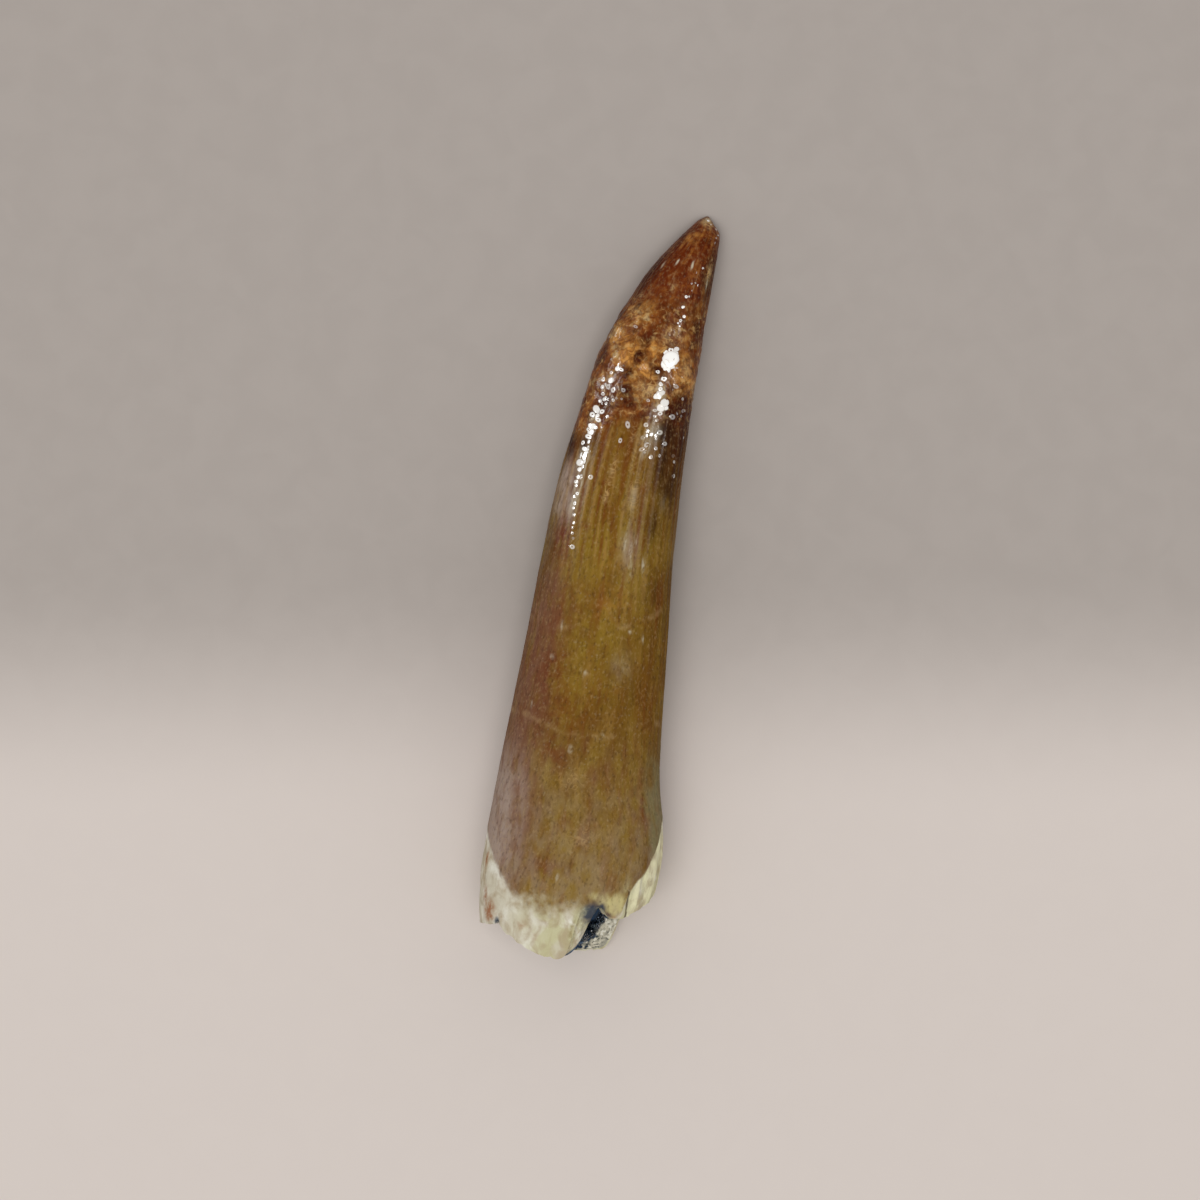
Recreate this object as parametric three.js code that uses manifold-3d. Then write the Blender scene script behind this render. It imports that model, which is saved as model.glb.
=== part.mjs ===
// A fossil plesiosaur tooth, lying on its side: one hollow-rooted tooth and the crust of
// small crystals inside the broken end of its pulp cavity.
// Millimetres, +Z up. The tooth lies along Y with its tip at the +Y end, bows towards -X and
// rests on z = 0. The origin is under the middle of its footprint.
import * as THREE from "three";
import { mergeVertices } from "three/addons/utils/BufferGeometryUtils.js";
import Module from "manifold-3d";

// ---- Driving dimensions -------------------------------------------------------------------

const LENGTH = 42.8; // lowest splinter of the break to the tip
const WALL = 1.0; // dentine round the pulp cavity, at the break
const CAVITY_DEPTH = 15; // the pulp cavity closes to a blunt cone this far up
const REST_FLAT = 0.1; // worn flat on the side that the tooth lies on

const RIDGES = 42; // fine enamel ridges round the crown
const RIDGE_HEIGHT = 0.1;
const ENAMEL_STEP = 0.05; // the enamel stands this far proud of the root

// Both sides of the tooth as seen from above, from the break to the tip: [along, across].
// The -X side is nearly straight and then bends in to the tip; the +X side flares at the root.
const BOWED_SIDE = [
  [0, -4.35], [1.6, -4.68], [3, -4.97], [5.4, -5.26], [12, -5.3], [18, -5.27], [24, -5.33],
  [27, -5.24], [30, -4.95], [33, -4.57], [36, -3.88], [37.5, -3.31], [39, -2.69], [41, -1.53],
  [42, -0.85], [42.5, -0.46], [LENGTH, -0.05],
];
const HOLLOW_SIDE = [
  [0, 3.95], [3, 4.42], [6.4, 4.68], [7.6, 4.57], [9, 4.27], [10.5, 3.8], [12, 3.46],
  [15, 3.03], [18, 2.64], [24, 1.85], [30, 1.35], [36, 1.05], [39, 0.98], [41.4, 0.92],
  [41.9, 0.84], [42.35, 0.46], [LENGTH, 0.03],
];

// Half the thickness of the section, as [along, half thickness]: a little flatter than round.
const HALF_THICKNESS = [
  [0, 4.0], [5, 4.2], [9, 4.05], [14, 3.72], [20, 3.32], [26, 2.96], [31, 2.58], [35, 2.2],
  [38, 1.8], [40, 1.4], [41.4, 1.02], [42.2, 0.62], [LENGTH, 0.05],
];

// The broken end, as [degrees round the tooth, height of the edge along it]. 0 is the +X side,
// 90 the top, 180 the -X side and 270 the side on the ground.
const OUTER_BREAK = [
  [0, 5.3], [8, 4.95], [15, 4.65], [23, 4.32], [33, 3.9], [41, 3.58], [48, 3.35], [54, 3.3],
  [59, 3.5], [64, 3.9], [75, 3.9], [78, 3.1], [80, 1.7], [82, 0.85], [88, 0.55], [96, 0.55],
  [105, 0.66], [117, 0.94], [126, 1.2], [133, 1.45], [137, 1.7], [140, 2.0], [143, 1.72],
  [150, 1.66], [162, 1.6], [184, 1.6], [200, 1.75], [213, 1.8], [230, 1.65], [243, 1.35],
  [261, 1.05], [275, 0.9], [284, 0.93], [293, 1.08], [301, 1.22], [308, 1.48], [311, 1.85],
  [312.5, 2.4], [314, 3.1], [318, 3.6], [326, 3.96], [337, 4.35], [349, 4.8], [360, 5.3],
];
// The inner edge of the broken wall: the notch at the top is bevelled on its -X side.
const INNER_BREAK = [
  [0, 5.5], [8, 5.15], [22, 4.6], [33, 4.15], [41, 3.8], [48, 3.58], [54, 3.5], [59, 3.75],
  [63, 3.85], [64.5, 3.3], [66, 2.5], [68.5, 1.75], [74, 1.05], [80, 0.78], [88, 0.7],
  [96, 0.75], [105, 0.9], [117, 1.2], [128, 1.55], [134, 1.85], [139, 2.3], [144, 2.0],
  [152, 1.9], [184, 1.9], [200, 2.0], [213, 2.0], [230, 1.85], [243, 1.6], [261, 1.3],
  [275, 1.2], [284, 1.28], [293, 1.45], [301, 1.7], [306, 2.0], [310, 2.7], [314, 3.35],
  [320, 3.85], [328, 4.2], [345, 4.85], [360, 5.5],
];
// The lower edge of the enamel: low on the two faces, high on the two sides.
const ENAMEL_EDGE = [
  [0, 9.6], [14, 8.6], [24, 7.5], [34, 6.25], [42, 5.4], [50, 4.4], [57, 3.6], [66, 3.55],
  [76, 3.85], [88, 3.65], [101, 3.4], [116, 3.45], [128, 3.85], [139, 4.6], [156, 5.75],
  [168, 6.5], [180, 7.0], [205, 6.4], [235, 4.7], [270, 3.7], [305, 4.8], [340, 8.0], [360, 9.6],
];

// Lumps and hollows of the healed band below the tip:
// [along, degrees round, half width, height].
const LUMPS = [
  [36.6, 120, 1.1, 0.16], [35.6, 150, 1.2, 0.22], [35.2, 96, 0.9, -0.14],
  [34.4, 68, 0.8, 0.3], [34.2, 130, 1.2, 0.2], [33.6, 84, 0.7, -0.24],
  [33.4, 40, 1.1, 0.2], [32.6, 106, 1.0, 0.24], [32.7, 158, 1.0, 0.16],
  [31.9, 66, 0.8, 0.16], [31.4, 132, 0.8, -0.14], [30.4, 150, 1.0, 0.14],
  [33.9, 196, 1.2, 0.18], [32.4, 232, 1.1, -0.14], [34.8, 262, 1.2, 0.16],
  [33.2, 305, 1.2, 0.2], [35.0, 340, 1.0, 0.14], [31.8, 345, 0.9, -0.12],
];

// The crust of crystals on the wall that the tooth lies on, along the edge of the break.
const CRUST_DEGREES = [280, 314];
const CRUST_FROM_EDGE = [0.05, 1.2]; // from the inner edge of the break, along the tooth
const CRUST_THICK = 0.18;
const CRUST_GAP = 0.08; // clearance between the crust and the cavity's wall
const CRYSTALS = 15;
const CRYSTAL_RADIUS = [0.16, 0.3];
const CRYSTAL_HEIGHT = [0.08, 0.26];
const CRYSTAL_LEAN = 0.45; // the slope at which a crystal may lean away from the wall's normal
const CRYSTAL_REACH = 0.4; // the mean slope at which they lean out over the break

// ---- Mesh density ---------------------------------------------------------------------------

const SPOKES = 2 * RIDGES; // one spoke on each crest and one in each furrow
const ROOT_TOP = 10; // rings below this height lean to follow the break
const ROOT_RINGS = 10;
const CROWN_TOP = 40.4;
const CROWN_RINGS = 29;
const TIP_LEVELS = [42.65, 42.35, 41.9, 41.2]; // the chipped tip needs closer rings
const CAVITY_RINGS = 8;

const wasm = await Module();
wasm.setup();

// ---- Helpers --------------------------------------------------------------------------------

// A smooth curve through [place, value] points, with no overshoot between them.
function curveThrough(points) {
  const slopes = points.map((p, i) => {
    const before = points[Math.max(i - 1, 0)];
    const after = points[Math.min(i + 1, points.length - 1)];
    const into = i > 0 ? (p[1] - before[1]) / (p[0] - before[0]) : 0;
    const out = i < points.length - 1 ? (after[1] - p[1]) / (after[0] - p[0]) : 0;
    if (i === 0 || i === points.length - 1) return into + out;
    return into * out <= 0 ? 0 : (2 * into * out) / (into + out);
  });
  return (place) => {
    let i = 1;
    while (i < points.length - 1 && place > points[i][0]) i++;
    const [x0, y0] = points[i - 1];
    const [x1, y1] = points[i];
    const span = x1 - x0;
    const t = THREE.MathUtils.clamp((place - x0) / span, 0, 1);
    const bend = t * t * (3 - 2 * t);
    return (
      y0 + (y1 - y0) * bend +
      span * slopes[i - 1] * t * (1 - t) ** 2 - span * slopes[i] * t * t * (1 - t)
    );
  };
}

const bowedSide = curveThrough(BOWED_SIDE);
const hollowSide = curveThrough(HOLLOW_SIDE);
const outerBreak = curveThrough(OUTER_BREAK);
const innerBreak = curveThrough(INNER_BREAK);
const enamelEdge = curveThrough(ENAMEL_EDGE);
const halfThickness = curveThrough(HALF_THICKNESS);

// The smallest turn from one direction to another, in degrees.
const turn = (from, to) => THREE.MathUtils.euclideanModulo(to - from + 180, 360) - 180;

// ---- The tooth's surfaces -------------------------------------------------------------------

const middle = (along) => (bowedSide(along) + hollowSide(along)) / 2;
const halfWidth = (along) => (hollowSide(along) - bowedSide(along)) / 2;

// How far the outer surface stands off the plain section: ridges, lumps and the enamel's edge.
function relief(along, degrees, spoke) {
  const crest = spoke % 2 ? -0.5 : 0.5;
  const ridged = THREE.MathUtils.smoothstep(along, 9, 20);
  const narrowing = THREE.MathUtils.smoothstep(halfWidth(along), 0.4, 2.6);
  let height = RIDGE_HEIGHT * crest * (0.35 + 0.65 * ridged) * narrowing;
  for (const [at, round, reach, rise] of LUMPS) {
    const across = THREE.MathUtils.degToRad(turn(round, degrees)) * halfWidth(along);
    const far = Math.hypot(along - at, across) / reach;
    height += rise * Math.exp(-2 * far * far);
  }
  const bare = 1 - THREE.MathUtils.smoothstep(along, enamelEdge(degrees) - 0.3, enamelEdge(degrees));
  return height * (1 - bare) - ENAMEL_STEP * bare;
}

// A point of the section at this height, moved out by `out` from the plain section.
function onSection(along, degrees, out) {
  const angle = THREE.MathUtils.degToRad(degrees);
  const lift = halfThickness(along);
  return new THREE.Vector3(
    middle(along) + (halfWidth(along) + out) * Math.cos(angle),
    along,
    lift + (lift + out) * Math.sin(angle),
  );
}

// The heights of the outer rings at one angle, from the last ring below the tip to the break.
function outerLevels(degrees) {
  const foot = outerBreak(degrees);
  const crown = Array.from({ length: CROWN_RINGS }, (_, i) =>
    THREE.MathUtils.lerp(CROWN_TOP, ROOT_TOP, i / (CROWN_RINGS - 1)),
  );
  const root = Array.from({ length: ROOT_RINGS }, (_, i) =>
    THREE.MathUtils.lerp(ROOT_TOP, foot, (i + 1) / ROOT_RINGS),
  );
  return [...TIP_LEVELS, ...crown, ...root];
}

// The wall of the pulp cavity at one angle, moved `inward` towards the cavity's middle. It closes
// to a blunt cone as share runs from 0 at the break to 1 at the cavity's end.
function onCavity(share, degrees, inward = 0) {
  const along = THREE.MathUtils.lerp(innerBreak(degrees), CAVITY_DEPTH, share);
  const narrowed = Math.sqrt(1 - share ** 2);
  const angle = THREE.MathUtils.degToRad(degrees);
  const bore = (half) => (half - WALL) * narrowed - inward;
  return new THREE.Vector3(
    middle(along) + bore(halfWidth(along)) * Math.cos(angle),
    along,
    halfThickness(along) + bore(halfThickness(along)) * Math.sin(angle),
  );
}

// A lathe with one ring for each level inside and out, its vertices then moved to the tooth.
function toothGeometry() {
  const outerCount = outerLevels(0).length;
  const rings = 1 + outerCount + CAVITY_RINGS + 1; // from the tip, over the break, to the cavity's end
  const profile = Array.from({ length: rings }, (_, i) =>
    new THREE.Vector2(i === 0 || i === rings - 1 ? 0 : 1, i),
  );
  const lathe = new THREE.LatheGeometry(profile, SPOKES);
  const position = lathe.getAttribute("position");
  for (let v = 0; v < position.count; v++) {
    const ring = v % rings;
    const spoke = Math.floor(v / rings) % SPOKES;
    const degrees = (360 * spoke) / SPOKES;
    let point;
    if (ring === 0) {
      point = onSection(LENGTH, 0, -halfWidth(LENGTH));
    } else if (ring <= outerCount) {
      const along = outerLevels(degrees)[ring - 1];
      point = onSection(along, degrees, relief(along, degrees, spoke));
    } else {
      point = onCavity((ring - outerCount - 1) / CAVITY_RINGS, degrees);
    }
    if (point.z < REST_FLAT) point.z = 0;
    position.setXYZ(v, point.x, point.y, point.z);
  }
  lathe.deleteAttribute("normal");
  lathe.deleteAttribute("uv");
  return mergeVertices(lathe, 1e-4);
}

// ---- The crystals in the cavity -------------------------------------------------------------

// A point over the cavity's wall: its distance in from the break, and `inward` off the wall.
function overWall(fromEdge, degrees, inward) {
  return onCavity(fromEdge / (CAVITY_DEPTH - innerBreak(degrees)), degrees, inward);
}

// A slab bent on to the wall, narrower towards its two ends.
function crustBase() {
  const base = new THREE.BoxGeometry(1, 1, 1, 8, 2, 1);
  const position = base.getAttribute("position");
  for (let v = 0; v < position.count; v++) {
    const across = position.getX(v);
    const up = position.getY(v) * (1 - Math.abs(across));
    const fromEdge = THREE.MathUtils.lerp(...CRUST_FROM_EDGE, up + 0.5);
    const degrees = THREE.MathUtils.lerp(...CRUST_DEGREES, across + 0.5);
    const inward = CRUST_GAP + CRUST_THICK * (position.getZ(v) + 0.5);
    position.setXYZ(v, ...overWall(fromEdge, degrees, inward));
  }
  return base;
}

// One stubby six-sided crystal with a pointed end, standing on the crust.
function crystal(fromEdge, degrees, radius, height, lean) {
  const profile = [[0, 0], [radius, 0], [radius * 0.9, height], [0, height + radius]];
  const shape = new THREE.LatheGeometry(profile.map((p) => new THREE.Vector2(...p)), 6);
  const foot = overWall(fromEdge, degrees, CRUST_GAP + CRUST_THICK / 2);
  const inwards = overWall(fromEdge, degrees, 1).sub(overWall(fromEdge, degrees, 0)).normalize();
  const aim = inwards.add(lean).normalize();
  const upright = new THREE.Quaternion().setFromUnitVectors(new THREE.Vector3(0, 1, 0), aim);
  return shape.applyQuaternion(upright).translate(...foot);
}

// The crystals side by side along the crust, each at a random place across it.
function crystalShapes() {
  THREE.MathUtils.seededRandom(11);
  const between = (low, high) => THREE.MathUtils.lerp(low, high, THREE.MathUtils.seededRandom());
  const leaning = () => between(-CRYSTAL_LEAN, CRYSTAL_LEAN);
  return Array.from({ length: CRYSTALS }, (_, i) =>
    crystal(
      THREE.MathUtils.lerp(...CRUST_FROM_EDGE, between(0.15, 0.75)),
      THREE.MathUtils.lerp(...CRUST_DEGREES, (i + 0.5) / CRYSTALS),
      between(...CRYSTAL_RADIUS),
      between(...CRYSTAL_HEIGHT),
      new THREE.Vector3(leaning(), leaning() - CRYSTAL_REACH, leaning()),
    ),
  );
}

// A closed three.js shape as a manifold-3d solid, and back.
function solidOf(shape) {
  shape.deleteAttribute("normal");
  shape.deleteAttribute("uv");
  const merged = mergeVertices(shape, 1e-4);
  return new wasm.Manifold(
    new wasm.Mesh({
      numProp: 3,
      vertProperties: merged.getAttribute("position").array,
      triVerts: new Uint32Array(merged.index.array),
    }),
  );
}

function geometryOf(solid) {
  const { vertProperties, triVerts } = solid.getMesh();
  return new THREE.BufferGeometry()
    .setAttribute("position", new THREE.BufferAttribute(vertProperties, 3))
    .setIndex(new THREE.BufferAttribute(triVerts, 1));
}

function crustGeometry() {
  const crystals = crystalShapes().map(solidOf);
  return geometryOf(crystals.reduce((crust, one) => crust.add(one), solidOf(crustBase())));
}

// ---- The finished part ----------------------------------------------------------------------

const fossilEnamel = new THREE.MeshStandardMaterial({
  name: "fossil_enamel",
  color: new THREE.Color().setRGB(0.2, 0.11, 0.045),
  roughness: 0.35,
  metalness: 0,
});

const tooth = new THREE.Mesh(toothGeometry(), fossilEnamel);
tooth.name = "tooth";

const clearCrystal = new THREE.MeshStandardMaterial({
  name: "clear_crystal",
  color: new THREE.Color().setRGB(0.6, 0.6, 0.55),
  roughness: 0.1,
  metalness: 0,
});
const crust = new THREE.Mesh(crustGeometry(), clearCrystal);
crust.name = "pulp_crystals";

const part = new THREE.Group();
part.add(tooth, crust);

// The origin goes under the middle of the footprint.
const box = new THREE.Box3().setFromObject(tooth);
part.position.set(-(box.min.x + box.max.x) / 2, -(box.min.y + box.max.y) / 2, -box.min.z);

export default part;
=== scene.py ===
# %% [markdown]
# # A fossil tooth, lying on a pale table
#
# The real thing is a tooth of a plesiosaur, a long-necked sea reptile. It is about 42 mm long: a
# curved cone of brown enamel with fine ridges along it, a broken and hollow root of cream
# dentine, and a thin glossy varnish that a preparator brushed over the upper half, where the
# tooth was cracked and healed. Small clear crystals grew inside the hollow.
#
# The solid of the tooth comes from the CAD model. This notebook loads it as a fixed frame, and
# builds a finer skin of the same size in its place, with the ridges, lumps, bubbles and broken
# edges that a solid made for collision has no use for.

import math
import random

import bmesh
import bpy
import numpy as np
from mathutils import Matrix, Vector, noise


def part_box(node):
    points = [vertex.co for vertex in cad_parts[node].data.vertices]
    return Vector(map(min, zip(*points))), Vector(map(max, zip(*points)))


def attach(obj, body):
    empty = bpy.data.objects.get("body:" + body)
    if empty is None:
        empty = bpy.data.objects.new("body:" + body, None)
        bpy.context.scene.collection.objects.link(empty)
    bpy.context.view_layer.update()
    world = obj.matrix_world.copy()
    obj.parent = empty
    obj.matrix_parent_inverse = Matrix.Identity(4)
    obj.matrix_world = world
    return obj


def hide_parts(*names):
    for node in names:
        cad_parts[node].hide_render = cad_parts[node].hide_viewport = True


MM = 0.001  # the lists below are in millimetres, and Blender works in metres

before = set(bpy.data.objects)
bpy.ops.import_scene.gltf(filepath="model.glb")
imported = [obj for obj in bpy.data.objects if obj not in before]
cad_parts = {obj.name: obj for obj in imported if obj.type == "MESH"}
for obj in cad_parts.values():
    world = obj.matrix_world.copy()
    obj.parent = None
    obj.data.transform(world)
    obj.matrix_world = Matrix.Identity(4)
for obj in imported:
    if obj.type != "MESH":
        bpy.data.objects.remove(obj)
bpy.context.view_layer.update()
tooth_low, tooth_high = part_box("tooth")
print("the tooth measures", [round(side / MM, 2) for side in tooth_high - tooth_low], "mm")

# %% [markdown]
# ## The camera
#
# A loose tooth can't stand on its broken end, so it lies on its side and the camera looks
# straight down on it. A long lens keeps the cone's taper honest: close up with a short lens, the
# thick root would look larger than it is. The camera is turned a little about its own line of
# sight, so that the tooth leans in the picture.

# %% Camera
LENS = 300.0  # mm
SENSOR = 36.0  # mm
VIEW_WIDTH = 66.8 * MM  # what the picture takes in, level with the widest part of the tooth
LEAN = math.radians(11.5)  # the tooth leans this far from upright in the picture
ASIDE = (-1.30 * MM, -1.16 * MM)  # the picture's centre, from the middle of the tooth

centre = (tooth_low + tooth_high) / 2
camera_data = bpy.data.cameras.new("camera")
camera_data.lens = LENS
camera_data.sensor_width = SENSOR
camera = bpy.data.objects.new("camera", camera_data)
camera.location = (
    centre.x + ASIDE[0],
    centre.y + ASIDE[1],
    centre.z + VIEW_WIDTH * LENS / SENSOR,
)
camera.rotation_euler = (0, 0, LEAN)
bpy.context.scene.collection.objects.link(camera)
bpy.context.scene.camera = camera
print("the camera is", round(camera.location.z / MM), "mm above the table")

# %% [markdown]
# ## The light
#
# A glossy thing shows its lamps. Two kinds are used here: a large soft panel overhead that
# lights the colours evenly, and two small bright strips, one low on the left and one half way up
# on the right, whose reflections run along the tooth as broken white lines. The crown tapers, so
# it leans its face towards the tip: the strips stand on that side, or their reflections would
# slip off the end. They are seen only by reflections, so they draw no hard shadows on the table.
# An even grey world fills the rest.

# %% Lamps
SKY = 0.62  # brightness of the world
SKY_COLOUR = (0.80, 0.77, 0.75, 1)
TIPWARD = 0.08  # how far the strips stand towards the tip, in metres
FAINTLY_WARM = (1.0, 0.985, 0.96)


def lamp(name, off_vertical, reach, tipward, size, power, colour=(1, 1, 1)):
    """An area lamp aimed at the tooth, at so many degrees to the right of straight above it."""
    data = bpy.data.lights.new(name, "AREA")
    data.shape = "RECTANGLE"
    data.size, data.size_y = size
    data.energy = power
    data.color = colour
    made = bpy.data.objects.new(name, data)
    tilt = math.radians(off_vertical)
    away = Vector((reach * math.sin(tilt), tipward, reach * math.cos(tilt)))
    made.location = centre + away
    made.rotation_euler = away.to_track_quat("Z", "Y").to_euler()
    made.visible_camera = False
    bpy.context.scene.collection.objects.link(made)
    return made


panel = lamp("panel", -4, 0.7, -0.14, size=(0.5, 0.5), power=2.6, colour=FAINTLY_WARM)
panel.visible_glossy = False
left_strip = lamp("left_strip", -70, 0.3, TIPWARD, size=(0.12, 0.055), power=0.73)
right_strip = lamp("right_strip", 38, 0.3, TIPWARD, size=(0.09, 0.05), power=0.5)
left_strip.visible_diffuse = right_strip.visible_diffuse = False

world = bpy.data.worlds.new("room")
world.use_nodes = True
background = world.node_tree.nodes["Background"].inputs
background["Color"].default_value = SKY_COLOUR
background["Strength"].default_value = SKY
bpy.context.scene.world = world
world.cycles_visibility.glossy = False
bpy.context.scene.view_settings.view_transform = "Standard"

# %% [markdown]
# ## Curves for the shape
#
# A tooth has no straight line in it, so its outline is a handful of points with a smooth curve
# through them. This curve never swings past a point: at each one its slope is the harmonic mean
# of the slopes on the two sides, and zero at a peak. NumPy works on all places at once, which
# matters later, when tens of thousands of vertices ask for their place.

# %% Smooth curve through points


def curve_through(points):
    """A function from places to values, smooth through the [place, value] points."""
    place, value = np.array(points, float).T
    rise = np.diff(value) / np.diff(place)
    slope = np.zeros(len(place))
    slope[0], slope[-1] = rise[0], rise[-1]
    both = rise[:-1] * rise[1:]
    climbing = both > 0
    slope[1:-1][climbing] = 2 * both[climbing] / (rise[:-1] + rise[1:])[climbing]

    def at(where):
        i = np.clip(np.searchsorted(place, where) - 1, 0, len(place) - 2)
        span = place[i + 1] - place[i]
        t = np.clip((where - place[i]) / span, 0, 1)
        bend = t * t * (3 - 2 * t)
        lead = span * slope[i] * t * (1 - t) ** 2 - span * slope[i + 1] * t * t * (1 - t)
        return value[i] + (value[i + 1] - value[i]) * bend + lead

    return at


def ease(value, low, high):
    """0 below low, 1 above high, and smooth between them."""
    t = np.clip((value - low) / (high - low), 0, 1)
    return t * t * (3 - 2 * t)


# %% [markdown]
# ## The tooth's outline
#
# Seen from above, the left side of the tooth is nearly straight and bends in to the tip, and the
# right side flares at the root. Heights along the tooth are counted from the lowest splinter of
# the broken root to the tip. These are the CAD model's own values, in millimetres.

# %% Outline
LENGTH = 42.8
WALL = 1.0  # dentine round the hollow, at the break
CAVITY_DEPTH = 15

BOWED_SIDE = [
    [0, -4.35], [1.6, -4.68], [3, -4.97], [5.4, -5.26], [12, -5.3], [18, -5.27], [24, -5.33],
    [27, -5.24], [30, -4.95], [33, -4.57], [36, -3.88], [37.5, -3.31], [39, -2.69], [41, -1.53],
    [42, -0.85], [42.5, -0.46], [LENGTH, -0.05],
]
HOLLOW_SIDE = [
    [0, 3.95], [3, 4.42], [6.4, 4.68], [7.6, 4.57], [9, 4.27], [10.5, 3.8], [12, 3.46],
    [15, 3.03], [18, 2.64], [24, 1.85], [30, 1.35], [36, 1.05], [39, 0.98], [41.4, 0.92],
    [41.9, 0.84], [42.35, 0.46], [LENGTH, 0.03],
]
HALF_THICKNESS = [
    [0, 4.0], [5, 4.2], [9, 4.05], [14, 3.72], [20, 3.32], [26, 2.96], [31, 2.58], [35, 2.2],
    [38, 1.8], [40, 1.4], [41.4, 1.02], [42.2, 0.62], [LENGTH, 0.05],
]

bowed_side = curve_through(BOWED_SIDE)
hollow_side = curve_through(HOLLOW_SIDE)
half_thickness = curve_through(HALF_THICKNESS)


def middle(along):
    return (bowed_side(along) + hollow_side(along)) / 2


def half_width(along):
    return (hollow_side(along) - bowed_side(along)) / 2


print("half way up it is", round(2 * float(half_width(np.array(21.4))), 1), "mm wide")

# %% [markdown]
# ## The broken end
#
# Three edges run round the root, each given as heights against degrees: 0 is the right side, 90
# the top, 180 the left side and 270 the side on the table. The outer and the inner edge of the
# break follow each other, with a deep notch on top and a small slot on the left. The enamel ends
# higher up, in an edge that sweeps up both sides.

# %% Edges round the root
OUTER_BREAK = [
    [0, 5.2], [4, 5.14], [9, 4.92], [15, 4.65], [23, 4.32], [33, 3.9], [41, 3.58], [48, 3.35],
    [54, 3.3], [59, 3.5], [64, 3.9], [75, 3.9], [78, 3.1], [80, 1.7], [82, 0.85], [88, 0.55], [96, 0.55],
    [105, 0.66], [117, 0.94], [126, 1.2], [133, 1.45], [137, 1.7], [140, 2.0], [143, 1.72],
    [150, 1.66], [162, 1.6], [184, 1.6], [200, 1.75], [213, 1.8], [230, 1.65], [243, 1.35],
    [261, 1.05], [275, 0.9], [284, 0.93], [293, 1.08], [301, 1.22], [308, 1.48], [311, 1.85],
    [312.5, 2.4], [314, 3.1], [318, 3.6], [326, 3.96], [337, 4.35], [348, 4.8], [356, 5.14],
    [360, 5.2],
]
INNER_BREAK = [
    [0, 5.4], [4, 5.34], [9, 5.1], [22, 4.6], [33, 4.15], [41, 3.8], [48, 3.58], [54, 3.5], [59, 3.75],
    [63, 3.85], [64.5, 3.3], [66, 2.5], [68.5, 1.75], [74, 1.05], [80, 0.78], [88, 0.7],
    [96, 0.75], [105, 0.9], [117, 1.2], [128, 1.55], [134, 1.85], [139, 2.3], [144, 2.0],
    [152, 1.9], [184, 1.9], [200, 2.0], [213, 2.0], [230, 1.85], [243, 1.6], [261, 1.3],
    [275, 1.2], [284, 1.28], [293, 1.45], [301, 1.7], [306, 2.0], [310, 2.7], [314, 3.35],
    [320, 3.85], [328, 4.2], [344, 4.85], [355, 5.33], [360, 5.4],
]
ENAMEL_EDGE = [
    [0, 9.3], [8, 9.15], [15, 8.5], [24, 7.5], [34, 6.25], [42, 5.4], [45, 4.9], [47, 3.9],
    [57, 3.4], [66, 3.5], [76, 3.85], [88, 3.65], [101, 3.4], [116, 3.45], [128, 3.85],
    [139, 4.6], [156, 5.75], [168, 6.5], [180, 7.0], [205, 6.4], [235, 4.7], [270, 3.7],
    [300, 4.3], [322, 6.2], [340, 8.3], [351, 9.15], [360, 9.3],
]

outer_break = curve_through(OUTER_BREAK)
inner_break = curve_through(INNER_BREAK)
enamel_edge = curve_through(ENAMEL_EDGE)


def on_section(along, degrees, out=0.0):
    """Points on the tooth's outside at those heights and angles, moved out by so much."""
    angle = np.radians(degrees)
    lift = half_thickness(along)
    across = middle(along) + (half_width(along) + out) * np.cos(angle)
    return np.stack([across, along, lift + (lift + out) * np.sin(angle)], axis=-1)


def on_cavity(share, degrees, inward=0.0):
    """Points on the wall of the hollow: share is 0 at the break and 1 at its far end."""
    along = inner_break(degrees) * (1 - share) + CAVITY_DEPTH * share
    narrowed = np.sqrt(np.clip(1 - share**2, 0, 1))
    angle = np.radians(degrees)
    wide = (half_width(along) - WALL) * narrowed - inward
    thick = (half_thickness(along) - WALL) * narrowed - inward
    return np.stack(
        [middle(along) + wide * np.cos(angle), along, half_thickness(along) + thick * np.sin(angle)],
        axis=-1,
    )


lowest_enamel = min(height for _, height in ENAMEL_EDGE)
print("the enamel ends", lowest_enamel, "mm up on top and", ENAMEL_EDGE[0][1], "mm up on the right")

# %% [markdown]
# ## Relief
#
# What makes this a tooth and not a cone is a few tenths of a millimetre of relief. It could be
# painted on as bump, but bump vanishes at the outline and in the exported mesh, so everything
# down to about 0.1 mm is real geometry. Each feature is a function from height and angle to how
# far the skin stands out: enamel ridges, growth lines, the lumps of the healed band, crumpled
# varnish, the flaky dentine and a few cracks.

# %% Relief helpers
GIRTH = 4  # mm, a usual distance from the tooth's core to its skin


def soft_noise(points, size, octaves=2):
    """Random relief from about -1 to 1, whose lumps are about size across."""
    return np.array([noise.fractal(Vector(p) / size, 1.0, 2.0, octaves) for p in points])


def rolled(degrees, height):
    """Where to look noise up so that it follows the skin, and not the tooth's bow and taper."""
    angle = np.radians(degrees)
    return np.stack([GIRTH * np.cos(angle), GIRTH * np.sin(angle), height], axis=-1)


def turned(degrees, start):
    """The signed turn from start to degrees, from -180 to 180."""
    return (degrees - start + 180) % 360 - 180


def spot(along, degrees, at, round_at, reach, squash=1.0):
    """1 at a place on the skin, fading to 0 at about reach from it; squash makes it long."""
    across = np.radians(turned(degrees, round_at)) * half_width(along)
    return np.exp(-2 * (((along - at) / squash) ** 2 + across**2) / reach**2)


def off_line(along, degrees, stops):
    """How far a place on the skin is from a line of [height, degrees] stops, in millimetres."""
    heights, angles = np.array(sorted(stops)).T
    return np.radians(turned(degrees, np.interp(along, heights, angles))) * half_width(along)


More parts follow.
